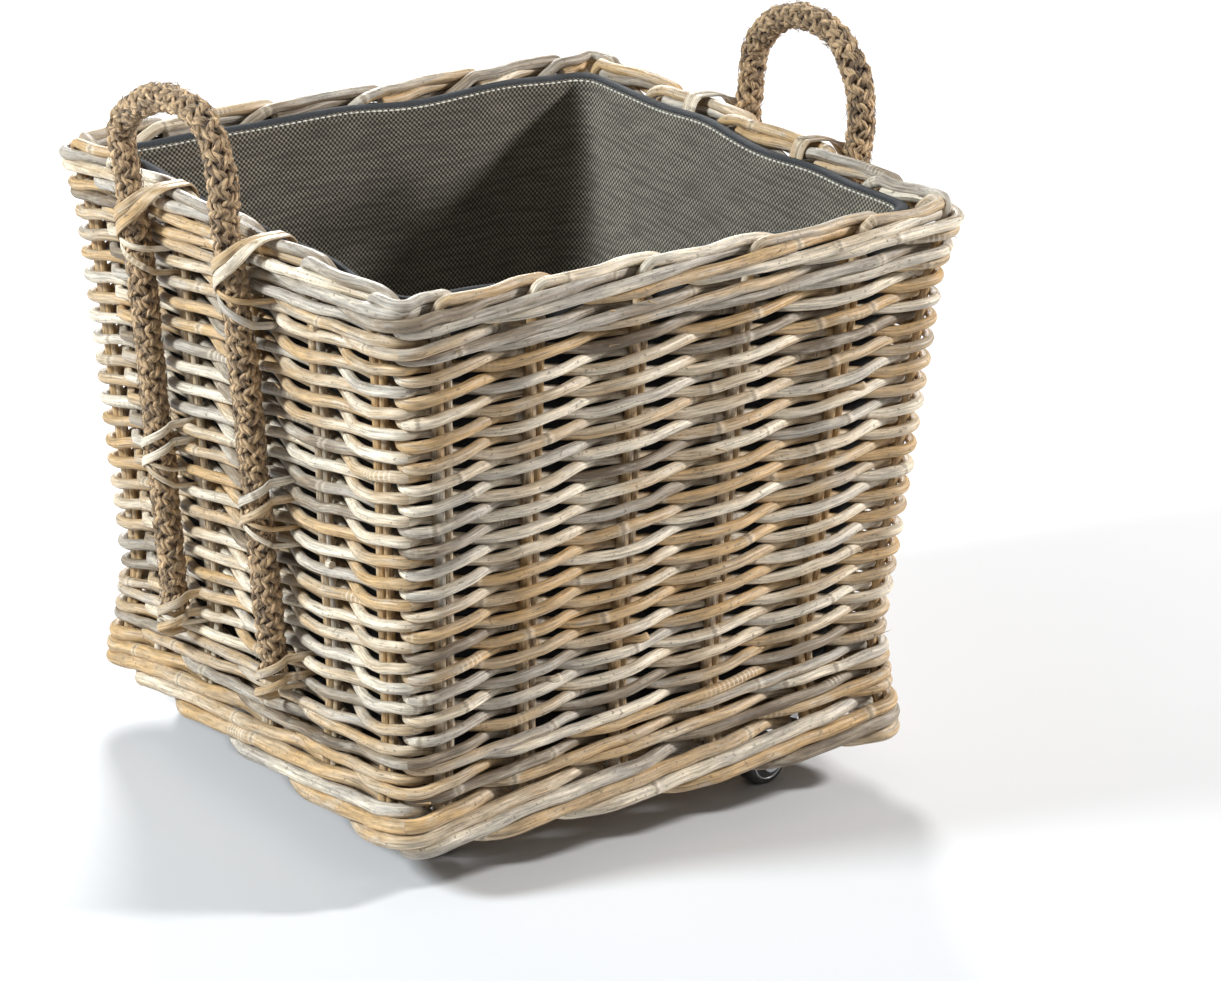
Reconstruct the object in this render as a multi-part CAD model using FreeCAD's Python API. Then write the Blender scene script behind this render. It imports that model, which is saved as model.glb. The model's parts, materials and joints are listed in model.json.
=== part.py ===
import FreeCAD, Part
import math
import os

os.makedirs("parts", exist_ok=True)
Vector = FreeCAD.Vector

# A square, tapering rattan log basket on castors, in millimetres.
# The floor is z = 0, the origin is under the middle of the basket and -Y is its front.

# The line of upright stakes: half its width at four heights, and its rounded corners.
FOOT_HALF = 213.5
WAIST_HALF = 206.0
SHOULDER_HALF = 228.0
RIM_HALF = 238.0
CORNER_RADIUS = 30.0

# Clear space left between neighbouring rods, and the play of the turning parts.
CLEAR = 0.35
RUNNING = 0.05

# Rods, by radius.
STAKE_RADIUS = 4.5
SIDE_STAKE_RADIUS = 3.0
STRAND_RADIUS = 3.6
WALE_RADIUS = 3.6
BORDER_RADIUS = 3.6
FOOT_RADIUS = 5.0

# Stake groups along a wall, as shares of the way from its middle to its corners.
FRONT_GROUPS = (-0.89, -0.546, -0.152, 0.261, 0.68)
FLANK_GROUPS = (-0.975, -0.73, -0.37, 0.075, 0.505, 0.89)
GROUP_REACH = 6.5
CORNER_LEVEL = 4.0
CORNER_SPRING = 0.06
CORNER_GAP = 0.45
LEAST_TURN = 0.02

# Siding of paired strands.
COURSES = 18

# Wales and borders.
FOOT_DROP = 23.4
FOOT_DIP = 5.0
WALE_DIP = 2.6
ELBOW_BEND = 4.3
DIVE_SHARE = 0.4
DIVE_DROP = 4.8

# Castors and base board.
CASTOR_X = 146.0
CASTOR_Y = 168.0
WHEEL_RADIUS = 20.0
WHEEL_WIDTH = 18.0
WHEEL_HEADROOM = 18.0
WHEEL_PLAY = 0.25
CASTOR_TRAIL = 18.0
CASTOR_TURNS = (8.0, 15.0, -20.0, -90.0)
PLATE_SIZE = 50.0
PLATE_THICKNESS = 2.5
PLATE_CORNER = 5.0
SCREW_SPACING = 19.0
SCREW_RADIUS = 2.0
SCREW_HOLE_RADIUS = 2.6
SCREW_HEAD_RADIUS = 4.0
SCREW_HEAD_HEIGHT = 2.2
RACE_RADIUS = 16.0
RACE_HEIGHT = 4.0
KINGPIN_RADIUS = 4.0
KINGPIN_HEAD_RADIUS = 7.0
KINGPIN_HEAD_HEIGHT = 2.0
FORK_THICKNESS = 2.5
FORK_CROWN_RADIUS = 18.0
FORK_FOOT_RADIUS = 8.0
AXLE_RADIUS = 3.0
AXLE_HEAD_RADIUS = 5.5
AXLE_HEAD_HEIGHT = 2.5
HUB_RADIUS = 9.0
HUB_PROUD = 1.5
TREAD_ROUNDING = 4.0
BOARD_THICKNESS = 10.0
SCREW_BITE = 0.75 * BOARD_THICKNESS

# Cloth liner.
LINER_THICKNESS = 2.0
HEM_THICKNESS = 3.5
HEM_HEIGHT = 28.0
LINER_DROP = 8.0
LINER_CORNER = 22.0

# Rope handles and their cane lashings.
ROPE_RADIUS = 11.0
LEG_SPREAD = 68.0
LOOP_SHIFT = 8.0
LOOP_SPREAD = LEG_SPREAD + 8.0
LOOP_RISE = 66.0
LOOP_BEND = 0.85 * min(LOOP_RISE, LOOP_SPREAD)
LEG_BEND = 60.0
HINGE_ABOVE_RIM = 14.0
CANE_RADIUS = 1.5
CANE_BEND = 4.0
LASHING_REACH = 20.0
CANE_FLAT = 6.0
CANE_SHOULDER = 14.4
CANE_DROP = 6.0
CANE_CROSS = 9.9
CANE_SIDE = 15.5
MIDDLE_LASHING_COURSE = 7.5
LOWER_LASHING_COURSE = 0.5
RIM_LASHING_COURSE = 16.5

# Distances from the stake line to the rods woven in front of it or behind it.
STRAND_OUT = STAKE_RADIUS + STRAND_RADIUS + CLEAR
WALE_OUT = STAKE_RADIUS + WALE_RADIUS + CLEAR
FOOT_OUT = STAKE_RADIUS + FOOT_RADIUS + CLEAR
BORDER_IN = 2.0 * BORDER_RADIUS + 3.0 * CLEAR


def crossing_rise(radius, out):
    """Height by which two strands part at the middle of a gap so that they clear each other."""
    apart = 2.0 * radius + 2.0 * CLEAR
    return apart * out / math.sqrt(4.0 * out * out - apart * apart)


STRAND_RISE = crossing_rise(STRAND_RADIUS, STRAND_OUT)
FOOT_STEP = 2.0 * FOOT_RADIUS + 3.0 * CLEAR
WALE_STEP = 2.0 * WALE_RADIUS + 3.0 * CLEAR
COURSE_PITCH = 2.0 * STRAND_RISE + 2.0 * STRAND_RADIUS + CLEAR

# Heights, each resting on the one below it.
CROWN_BOTTOM = 2.0 * WHEEL_RADIUS + WHEEL_HEADROOM
CROWN_TOP = CROWN_BOTTOM + FORK_THICKNESS
PLATE_BOTTOM = CROWN_TOP + RUNNING + RACE_HEIGHT
BOARD_BOTTOM = PLATE_BOTTOM + PLATE_THICKNESS
BOARD_TOP = BOARD_BOTTOM + BOARD_THICKNESS
FOOT_Z = BOARD_BOTTOM - FOOT_DROP
FOOT_TOP = FOOT_Z + 2.0 * FOOT_STEP + WALE_DIP + FOOT_RADIUS
LOWER_WALE_Z = FOOT_TOP + CLEAR + WALE_DIP + WALE_RADIUS
WALE_ROW = WALE_STEP + 2.0 * WALE_DIP + 2.0 * WALE_RADIUS + CLEAR
UPPER_ROW_Z = LOWER_WALE_Z + WALE_ROW
LOWER_WALE_TOP = UPPER_ROW_Z + WALE_STEP + WALE_DIP + WALE_RADIUS
FIRST_COURSE_Z = LOWER_WALE_TOP + CLEAR + STRAND_RISE + STRAND_RADIUS
LAST_COURSE_Z = FIRST_COURSE_Z + (COURSES - 1) * COURSE_PITCH
SIDING_TOP = LAST_COURSE_Z + STRAND_RISE + STRAND_RADIUS
UPPER_WALE_Z = SIDING_TOP + CLEAR + WALE_DIP + WALE_RADIUS
UPPER_WALE_TOP = UPPER_WALE_Z + WALE_STEP + WALE_DIP + WALE_RADIUS
BORDER_LOW_Z = UPPER_WALE_TOP + CLEAR + WALE_DIP + BORDER_RADIUS
BORDER_MID_Z = BORDER_LOW_Z + WALE_STEP
BORDER_TOP_Z = BORDER_MID_Z + WALE_STEP + WALE_DIP
RIM_TOP = BORDER_TOP_Z + BORDER_RADIUS
STAKE_BOTTOM = FOOT_Z
SIDE_STAKE_TOP = UPPER_WALE_TOP - WALE_DIP
LINER_TOP = RIM_TOP - LINER_DROP
HINGE_Z = RIM_TOP + HINGE_ABOVE_RIM
LOOP_TOP = HINGE_Z + LOOP_RISE

PROFILE = (
    (FOOT_Z, FOOT_HALF),
    (FIRST_COURSE_Z, WAIST_HALF),
    (LAST_COURSE_Z, SHOULDER_HALF),
    (BORDER_TOP_Z, RIM_HALF),
)
SIDES = ("front", "right", "back", "left")
NODES = {}


def half_width(z):
    """Half the width of the stake line at a height, straight between the profile's points."""
    for (low_z, low), (high_z, high) in zip(PROFILE, PROFILE[1:]):
        if z <= high_z:
            return low + (high - low) * (z - low_z) / (high_z - low_z)
    return PROFILE[-1][1]


def half_run(z):
    """Length of the stake line from the middle of a wall to the middle of its corner."""
    return half_width(z) - CORNER_RADIUS + CORNER_RADIUS * math.pi / 4.0


def side_of(place):
    """Number of the wall that holds a place; each wall spans two units of place."""
    return math.floor((place + 1.0) / 2.0)


def wall_point(place, out, z, side=None):
    """Point at a place round the wall, a distance out from the stake line, at a height."""
    if side is None:
        side = side_of(place)
    run = (place - 2.0 * side) * half_run(z)
    half = half_width(z)
    straight = half - CORNER_RADIUS
    along = run
    outward = half + out
    if abs(run) > straight:
        turn = (abs(run) - straight) / CORNER_RADIUS
        bend = CORNER_RADIUS + out + CORNER_SPRING * max(out, 0.0)
        along = math.copysign(straight + bend * math.sin(turn), run)
        outward = straight + bend * math.cos(turn)
    angle = side * math.pi / 2.0
    x = along * math.cos(angle) + outward * math.sin(angle)
    y = along * math.sin(angle) - outward * math.cos(angle)
    return Vector(x, y, z)


def group_places():
    """Places of all the stake groups, in order round the basket from the front wall."""
    places = []
    for side in range(4):
        shares = FRONT_GROUPS if side % 2 == 0 else FLANK_GROUPS
        places += [2.0 * side + share for share in shares]
    return places


GROUPS = group_places()


def group(index):
    """Place of a stake group, counting on past the last one round the basket."""
    turns, rest = divmod(index, len(GROUPS))
    return GROUPS[rest] + 8.0 * turns


def middle(index):
    """Place midway between a stake group and the next."""
    return 0.5 * (group(index) + group(index + 1))


def shifted(place, length, z):
    """A place moved along the wall by a length at a height."""
    return place + length / half_run(z)


def pipe(wire, radius):
    """Round rod along a wire, mitred where the wire has a corner."""
    start = wire.OrderedVertexes[0].Point
    first = wire.OrderedEdges[0]
    tangent = first.tangentAt(first.FirstParameter)
    section = Part.Wire([Part.makeCircle(radius, start, tangent)])
    sweep = Part.BRepOffsetAPI.MakePipeShell(wire)
    sweep.add(section)
    sweep.setTransitionMode(1)
    sweep.build()
    sweep.makeSolid()
    return sweep.shape()


def straightened(points):
    """Points of a rod without those at which it hardly turns."""
    kept = [points[0]]
    for point, after in zip(points[1:], points[2:]):
        if (point - kept[-1]).getAngle(after - point) > LEAST_TURN:
            kept.append(point)
    return kept + [points[-1]]


def rod(points, radius):
    """Round rod through points, mitred at each of them."""
    return pipe(Part.makePolygon(straightened(points)), radius)


def between(first, second, place):
    """Knot at a place on the straight line between two knots."""
    share = (place - first[0]) / (second[0] - first[0])
    out = first[1] + share * (second[1] - first[1])
    z = first[2] + share * (second[2] - first[2])
    return (place, out, z)


def knot_at(knots, place):
    """Knot at a place of a rod, on one of its knots or between two."""
    for first, second in zip(knots, knots[1:]):
        if first[0] < second[0] and first[0] <= place <= second[0]:
            return between(first, second, place)
    return knots[-1]


def with_corner_knots(knots):
    """Knots of a rod with more where it rounds a corner, level as it crosses the corner's middle."""
    start = knots[0][0]
    end = knots[-1][0]
    corner = 2.0 * math.floor(0.5 * start) - 1.0
    while corner < end + 1.0:
        crossing = knot_at(knots, corner)
        level = CORNER_LEVEL / half_run(crossing[2])
        bend = CORNER_RADIUS * math.pi / 4.0 / half_run(crossing[2])
        extra = []
        for place in (corner - bend, corner - 0.5 * bend, corner + 0.5 * bend, corner + bend):
            apart = min(abs(place - knot[0]) for knot in knots)
            if start < place < end and apart > level:
                extra.append(knot_at(knots, place))
        if start <= corner <= end:
            knots = [knot for knot in knots if abs(knot[0] - corner) > 1.5 * level]
            places = [corner + shift for shift in (-level, 0.0, level)]
            extra += [(place,) + crossing[1:] for place in places if start <= place <= end]
        knots = sorted(knots + extra, key=lambda knot: knot[0])
        corner += 2.0
    return knots


def at_corner(knot):
    """Whether a knot lies on the middle of a corner."""
    return knot[0] % 2.0 == 1.0


def drawn_back(end, before):
    """End of a rod at a corner, drawn back to leave a gap to the rod that follows it."""
    return end + (before - end).normalize() * CORNER_GAP


def by_wall(knots):
    """Cut a rod's knots at the corners of the basket: pairs of wall number and points."""
    pieces = []
    piece = []
    for knot in with_corner_knots(knots):
        piece.append(knot)
        if at_corner(knot) and len(piece) > 1:
            pieces.append(piece)
            piece = [knot]
    if len(piece) > 1:
        pieces.append(piece)
    walls = []
    for piece in pieces:
        side = side_of(0.5 * (piece[0][0] + piece[-1][0]))
        points = [wall_point(*knot, side) for knot in piece]
        if at_corner(piece[0]):
            points[0] = drawn_back(points[0], points[1])
        if at_corner(piece[-1]):
            points[-1] = drawn_back(points[-1], points[-2])
        walls.append((side % 4, points))
    return walls


def clipped(knots, start, end):
    """The stretch of a rod's knots between two places."""
    result = []
    for first, second in zip(knots, knots[1:]):
        if first[0] < start < second[0]:
            result.append(between(first, second, start))
        if start <= first[0] <= end:
            result.append(first)
        if first[0] < end < second[0]:
            result.append(between(first, second, end))
    return result


def woven(kind, rods, radius):
    """Nodes of woven rods, one for each wall, from the knots of each rod."""
    for knots in rods:
        for side, points in by_wall(knots):
            name = SIDES[side] + "_" + kind
            NODES.setdefault(name, []).append(rod(points, radius))


def paired_strand(start, z, out, rise):
    """Knots of one of two strands that twist together past every stake group."""
    knots = []
    for index in range(-1, len(GROUPS) + 1):
        front = (index + start) % 2 == 0
        level = out if front else -out
        knots.append((shifted(group(index), -GROUP_REACH, z), level, z))
        knots.append((shifted(group(index), GROUP_REACH, z), level, z))
        knots.append((middle(index), 0.0, z + rise if front else z - rise))
    return clipped(knots, -1.0, 7.0)


def siding():
    """Courses of paired strands up the four walls."""
    strands = []
    for course in range(COURSES):
        z = FIRST_COURSE_Z + course * COURSE_PITCH
        strands.append(paired_strand(0, z, STRAND_OUT, STRAND_RISE))
        strands.append(paired_strand(1, z, STRAND_OUT, STRAND_RISE))
    woven("siding", strands, STRAND_RADIUS)


def foot_rod(turn):
    """Knots of a foot rod: in front of three stake groups, climbing, then behind one."""
    knots = []
    for index in range(len(GROUPS) // 2 - 2, 2 * len(GROUPS)):
        stage = (index + turn) % 4
        level = -FOOT_OUT if stage == 3 else FOOT_OUT
        height = FOOT_Z + FOOT_STEP if stage == 3 else FOOT_Z + stage * FOOT_STEP
        knots.append((shifted(group(index), -GROUP_REACH, height), level, height))
        knots.append((shifted(group(index), GROUP_REACH, height), level, height))
        if stage == 2:
            knots.append((middle(index), 0.0, height + WALE_DIP))
        if stage == 3:
            knots.append((middle(index), 0.0, FOOT_Z - FOOT_DIP))
    return clipped(knots, 3.0, 11.0)


def foot_border():
    """Four thick rods woven round the ends of the stakes."""
    woven("foot_border", [foot_rod(turn) for turn in range(4)], FOOT_RADIUS)


def wale_rod(turn, z):
    """Knots of a wale rod: in front of two stake groups, climbing, then behind one."""
    knots = []
    for index in range(len(GROUPS) // 2 - 2, 2 * len(GROUPS)):
        stage = (index + turn) % 3
        level = -WALE_OUT if stage == 2 else WALE_OUT
        height = z + 0.5 * WALE_STEP if stage == 2 else z + stage * WALE_STEP
        knots.append((shifted(group(index), -GROUP_REACH, z), level, height))
        knots.append((shifted(group(index), GROUP_REACH, z), level, height))
        if stage == 1:
            knots.append((middle(index), 0.0, z + WALE_STEP + WALE_DIP))
        if stage == 2:
            knots.append((middle(index), 0.0, z - WALE_DIP))
    return clipped(knots, 3.0, 11.0)


def wales():
    """Two rows of three-rod wale under the siding and one above it."""
    lower = [wale_rod(turn, z) for z in (LOWER_WALE_Z, UPPER_ROW_Z) for turn in range(3)]
    upper = [wale_rod(turn, UPPER_WALE_Z) for turn in range(3)]
    woven("lower_wale", lower, WALE_RADIUS)
    woven("upper_wale", upper, WALE_RADIUS)


def stake_place(index, z):
    """Place of the thick stake of a group; its thin fellow stands against it."""
    return shifted(group(index), -SIDE_STAKE_RADIUS - 0.5 * CLEAR, z)


def border_rod(index):
    """Knots of a stake's end: bent over, behind one stake, before two and behind the last."""
    top = BORDER_TOP_Z
    low = BORDER_LOW_Z
    mid = BORDER_MID_Z
    start = stake_place(index, top)
    behind = GROUP_REACH
    dive = group(index + 1) + DIVE_SHARE * (middle(index + 1) - group(index + 1))
    knots = [
        (start, 0.0, low),
        (start, 0.0, top - ELBOW_BEND),
        (shifted(start, ELBOW_BEND, top), 0.0, top),
        (middle(index), 0.0, top),
        (shifted(group(index + 1), -behind, top), -BORDER_IN, top),
        (shifted(group(index + 1), behind, top), -BORDER_IN, top),
        (dive, -BORDER_IN, top - DIVE_DROP),
        (middle(index + 1), 0.0, low - WALE_DIP),
        (shifted(group(index + 2), -behind, top), WALE_OUT, low),
        (shifted(group(index + 2), behind, top), WALE_OUT, low),
        (shifted(group(index + 3), -behind, top), WALE_OUT, mid),
        (shifted(group(index + 3), behind, top), WALE_OUT, mid),
        (middle(index + 3), 0.0, mid + WALE_DIP),
        (shifted(group(index + 4), -behind, top), -BORDER_IN, mid),
        (group(index + 4), -BORDER_IN, mid),
    ]
    return knots


def rim_border():
    """The rolled border of the rim, from one rod at every stake group."""
    rods = [border_rod(index) for index in range(len(GROUPS))]
    woven("rim_border", rods, BORDER_RADIUS)


def upright(place_at, bottom, top, radius):
    """Stake that follows the wall's profile from its bottom to its top."""
    heights = [bottom] + [z for z, half in PROFILE if bottom < z < top] + [top]
    return rod([wall_point(place_at(z), 0.0, z) for z in heights], radius)


def stakes():
    """A thick stake and a thin one at every group, wall by wall."""
    gap = STAKE_RADIUS + SIDE_STAKE_RADIUS + CLEAR
    for index in range(len(GROUPS)):
        name = SIDES[side_of(GROUPS[index]) % 4] + "_stakes"

        def thick(z):
            return stake_place(index, z)

        def thin(z):
            return shifted(stake_place(index, z), gap, z)

        solids = NODES.setdefault(name, [])
        solids.append(upright(thick, STAKE_BOTTOM, BORDER_LOW_Z - CLEAR, STAKE_RADIUS))
        solids.append(upright(thin, STAKE_BOTTOM, SIDE_STAKE_TOP, SIDE_STAKE_RADIUS))


def rounded_square(half, radius, z):
    """Wire of a square with rounded corners, lying level."""
    face = Part.makePlane(2.0 * half, 2.0 * half, Vector(-half, -half, z))
    block = face.extrude(Vector(0, 0, 1))
    edges = [edge for edge in block.Edges if abs(edge.tangentAt(0).z) > 0.9]
    block = block.makeFillet(radius, edges)
    bottom = [face for face in block.Faces if abs(face.CenterOfMass.z - z) < 1e-6][0]
    return bottom.OuterWire


def tapered(bottom, top, low_z, high_z, corner):
    """Solid with rounded corners between two level squares."""
    wires = [rounded_square(bottom, corner, low_z), rounded_square(top, corner, high_z)]
    return Part.makeLoft(wires, True, True)


def castor_centres():
    """Middles of the four castor plates, front right first and then round the basket."""
    x = CASTOR_X
    y = CASTOR_Y
    return (("front_right", x, -y), ("back_right", x, y), ("back_left", -x, y), ("front_left", -x, -y))


def screw_centres():
    """Places of the castor screws on the board."""
    places = []
    for name, x, y in castor_centres():
        for across in (-SCREW_SPACING, SCREW_SPACING):
            places += [(x + across, y - SCREW_SPACING), (x + across, y + SCREW_SPACING)]
    return places


def base_board():
    """Board inside the ring of stakes, drilled for the castor screws."""
    inside = WALE_OUT + WALE_RADIUS + 2.0 * CLEAR
    half = min(half_width(BOARD_BOTTOM), half_width(BOARD_TOP)) - inside
    board = tapered(half, half, BOARD_BOTTOM, BOARD_TOP, CORNER_RADIUS)
    for x, y in screw_centres():
        start = Vector(x, y, BOARD_BOTTOM)
        board = board.cut(Part.makeCylinder(SCREW_RADIUS + RUNNING, SCREW_BITE + CLEAR, start))
    NODES["base_board"] = [board]


def liner():
    """Open cloth bag with a hem that stands on the board, inside the walls."""
    inside = WALE_OUT + WALE_RADIUS + 2.0 * CANE_RADIUS + 2.0 * CLEAR
    slope = (SHOULDER_HALF - WAIST_HALF) / (LAST_COURSE_Z - FIRST_COURSE_Z)
    floor = BOARD_TOP + CLEAR
    bottom = WAIST_HALF - inside - slope * (FIRST_COURSE_Z - floor)
    top = bottom + slope * (LINER_TOP - floor)
    corner = LINER_CORNER
    outer = tapered(bottom, top, floor, LINER_TOP, corner)
    hem_z = LINER_TOP - HEM_HEIGHT
    cloth = LINER_THICKNESS
    hem_half = bottom + slope * (hem_z - floor)
    low = tapered(bottom - cloth, hem_half - cloth, floor + cloth, hem_z, corner - cloth)
    hem = HEM_THICKNESS
    high_half = top + slope * cloth
    high = tapered(hem_half - hem, high_half - hem, hem_z, LINER_TOP + cloth, corner - hem)
    NODES["liner"] = [outer.cut(low).cut(high)]


def rounded_path(points, radius):
    """Wire of straight runs joined by tangent arcs at the inner points."""
    edges = []
    start = points[0]
    for before, corner, after in zip(points, points[1:], points[2:]):
        into = (corner - before).normalize()
        away = (after - corner).normalize()
        turn = into.getAngle(away)
        if turn < 1e-4:
            continue
        trim = radius * math.tan(0.5 * turn)
        first = corner - into * trim
        last = corner + away * trim
        toward = (away - into).normalize()
        centre = corner + toward * (radius / math.cos(0.5 * turn))
        crown = centre - toward * radius
        edges.append(Part.makeLine(start, first))
        edges.append(Part.Arc(first, crown, last).toShape())
        start = last
    edges.append(Part.makeLine(start, points[-1]))
    return Part.Wire(edges)


def flank_point(run, out, z):
    """Point before the left wall: a run toward its front, a distance out, at a height."""
    return Vector(-half_width(z) - out, -run, z)


def rope_out():
    """Distance from the stake line to the middle of a rope that lies on the wall."""
    return max(STRAND_OUT + STRAND_RADIUS, WALE_OUT + WALE_RADIUS) + 2.0 * CLEAR + ROPE_RADIUS


def leg_runs():
    """Runs of the two rope legs along the left wall, the rear one first."""
    return (-LEG_SPREAD - LOOP_SHIFT, LEG_SPREAD - LOOP_SHIFT)


def rope_legs():
    """The two ends of the left rope, lying on the wall up to the rim."""
    out = rope_out()
    legs = []
    for run in leg_runs():
        points = [flank_point(run, out, z) for z in (FIRST_COURSE_Z, LAST_COURSE_Z, BORDER_TOP_Z)]
        points.append(flank_point(run, out, HINGE_Z - ROPE_RADIUS - CLEAR))
        legs.append(pipe(rounded_path(points, LEG_BEND), ROPE_RADIUS))
    return legs


def rope_loop():
    """The standing loop of the left rope, with rounded ends to turn on."""
    out = rope_out()
    rear, fore = leg_runs()
    points = [
        flank_point(rear, out, HINGE_Z),
        flank_point(-LOOP_SPREAD - LOOP_SHIFT, out, LOOP_TOP),
        flank_point(LOOP_SPREAD - LOOP_SHIFT, out, LOOP_TOP),
        flank_point(fore, out, HINGE_Z),
    ]
    loop = pipe(rounded_path(points, LOOP_BEND), ROPE_RADIUS)
    ends = [Part.makeSphere(ROPE_RADIUS, point) for point in (points[0], points[-1])]
    return [loop.fuse(ends).removeSplitter()]


def wall_lashing(run, course):
    """Two turns of cane through the gaps of the siding, round a rope leg."""
    front = rope_out() + ROPE_RADIUS + 2.0 * CLEAR + CANE_RADIUS
    back = -(WALE_OUT + WALE_RADIUS + CLEAR + CANE_RADIUS)
    corner = front - CANE_DROP
    reach = LASHING_REACH
    points = []
    for turn in range(2):
        z = FIRST_COURSE_Z + (course + turn) * COURSE_PITCH
        points.append(flank_point(run - reach, back, z))
        points.append(flank_point(run - reach, STRAND_OUT + STRAND_RADIUS, z))
        points.append(flank_point(run - CANE_SHOULDER, corner, z))
        points.append(flank_point(run - CANE_FLAT, front, z))
        points.append(flank_point(run + CANE_FLAT, front, z))
        points.append(flank_point(run + CANE_SHOULDER, corner, z))
        points.append(flank_point(run + reach, STRAND_OUT + STRAND_RADIUS, z))
        points.append(flank_point(run + reach, back, z))
    return pipe(rounded_path(points, CANE_BEND), CANE_RADIUS)


def rim_lashing(run):
    """Two crossed turns of cane over the rim, round a rope leg and back under the wale."""
    front = rope_out() + ROPE_RADIUS + 2.0 * CLEAR + CANE_RADIUS
    back = -(WALE_OUT + WALE_RADIUS + CLEAR + CANE_RADIUS)
    over = RIM_TOP + CLEAR + CANE_RADIUS
    under = FIRST_COURSE_Z + RIM_LASHING_COURSE * COURSE_PITCH
    high = over - 2.0 * ROPE_RADIUS
    low = under + ROPE_RADIUS
    side = CANE_SIDE
    reach = LASHING_REACH
    points = [flank_point(run - side, back, under + ROPE_RADIUS)]
    for way, lift in ((-1.0, 0.0), (1.0, 2.0 * CANE_RADIUS + CLEAR)):
        points.append(flank_point(run + way * side, back, over))
        points.append(flank_point(run + way * side, rope_out(), over))
        points.append(flank_point(run + way * CANE_CROSS, front + lift, high))
        points.append(flank_point(run - way * CANE_CROSS, front + lift, low))
        points.append(flank_point(run - way * reach, STRAND_OUT + STRAND_RADIUS, under))
        points.append(flank_point(run - way * reach, back, under))
    return pipe(rounded_path(points, CANE_BEND), CANE_RADIUS)


def both_ends(name, solids):
    """A node on the left wall and its fellow on the right, turned half round."""
    NODES["left_" + name] = solids
    turned = []
    for solid in solids:
        copy = solid.copy()
        copy.rotate(Vector(0, 0, 0), Vector(0, 0, 1), 180)
        turned.append(copy)
    NODES["right_" + name] = turned


def handles():
    """Rope handles and the lashings that tie them to the walls."""
    both_ends("rope_legs", rope_legs())
    both_ends("rope_loop", rope_loop())
    both_ends("rim_lashings", [rim_lashing(run) for run in leg_runs()])
    both_ends("middle_lashings", [wall_lashing(run, MIDDLE_LASHING_COURSE) for run in leg_runs()])
    both_ends("lower_lashings", [wall_lashing(run, LOWER_LASHING_COURSE) for run in leg_runs()])


def castor_plate():
    """Top plate with its ball race and the kingpin that holds the fork."""
    half = 0.5 * PLATE_SIZE
    top = BOARD_BOTTOM
    under = PLATE_BOTTOM
    plate = tapered(half, half, under, top, PLATE_CORNER)
    for x in (-SCREW_SPACING, SCREW_SPACING):
        for y in (-SCREW_SPACING, SCREW_SPACING):
            start = Vector(x, y, under)
            plate = plate.cut(Part.makeCylinder(SCREW_HOLE_RADIUS, PLATE_THICKNESS, start))
    race_z = under - RACE_HEIGHT
    race = Part.makeCylinder(RACE_RADIUS, RACE_HEIGHT, Vector(0, 0, race_z))
    pin_z = CROWN_BOTTOM - RUNNING
    pin = Part.makeCylinder(KINGPIN_RADIUS, race_z - pin_z, Vector(0, 0, pin_z))
    head_z = pin_z - KINGPIN_HEAD_HEIGHT
    head = Part.makeCylinder(KINGPIN_HEAD_RADIUS, KINGPIN_HEAD_HEIGHT, Vector(0, 0, head_z))
    return plate.fuse([race, pin, head]).removeSplitter()


def fork_inner():
    """Half the clear width between the legs of a fork."""
    return 0.5 * WHEEL_WIDTH + HUB_PROUD + WHEEL_PLAY


def fork_leg(side):
    """Flat leg of a fork, from its crown back and down to the axle."""
    y = side * fork_inner() if side > 0 else side * (fork_inner() + FORK_THICKNESS)
    half = math.sqrt(FORK_CROWN_RADIUS ** 2 - (fork_inner() + FORK_THICKNESS) ** 2)
    foot = FORK_FOOT_RADIUS
    centre = Vector(-CASTOR_TRAIL, y, WHEEL_RADIUS)
    low = centre + Vector(0, 0, -foot)
    points = [
        Vector(half, y, CROWN_TOP),
        Vector(-half, y, CROWN_TOP),
        centre + Vector(-foot, 0, 0),
    ]
    edges = [Part.makeLine(points[0], points[1]), Part.makeLine(points[1], points[2])]
    edges.append(Part.Arc(points[2], low, centre + Vector(foot, 0, 0)).toShape())
    edges.append(Part.makeLine(centre + Vector(foot, 0, 0), points[0]))
    leg = Part.Face(Part.Wire(edges)).extrude(Vector(0, FORK_THICKNESS, 0))
    return leg.cut(axle_cylinder(AXLE_RADIUS + RUNNING))


def axle_cylinder(radius, half=50.0):
    """Cylinder about the axle of a wheel."""
    start = Vector(-CASTOR_TRAIL, -half, WHEEL_RADIUS)
    return Part.makeCylinder(radius, 2.0 * half, start, Vector(0, 1, 0))


def castor_fork():
    """Pressed fork: a round crown on the kingpin and two legs."""
    base = Vector(0, 0, CROWN_BOTTOM)
    crown = Part.makeCylinder(FORK_CROWN_RADIUS, FORK_THICKNESS, base)
    fork = crown.fuse([fork_leg(-1.0), fork_leg(1.0)])
    hole = Part.makeCylinder(KINGPIN_RADIUS + RUNNING, FORK_THICKNESS, base)
    return fork.cut(hole).removeSplitter()


def castor_axle():
    """Axle with a head at each end, riveted through the fork."""
    half = fork_inner() + FORK_THICKNESS
    axle = axle_cylinder(AXLE_RADIUS, half)
    for y in (-half - AXLE_HEAD_HEIGHT, half):
        start = Vector(-CASTOR_TRAIL, y, WHEEL_RADIUS)
        head = Part.makeCylinder(AXLE_HEAD_RADIUS, AXLE_HEAD_HEIGHT, start, Vector(0, 1, 0))
        axle = axle.fuse(head)
    return axle.removeSplitter()


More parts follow.
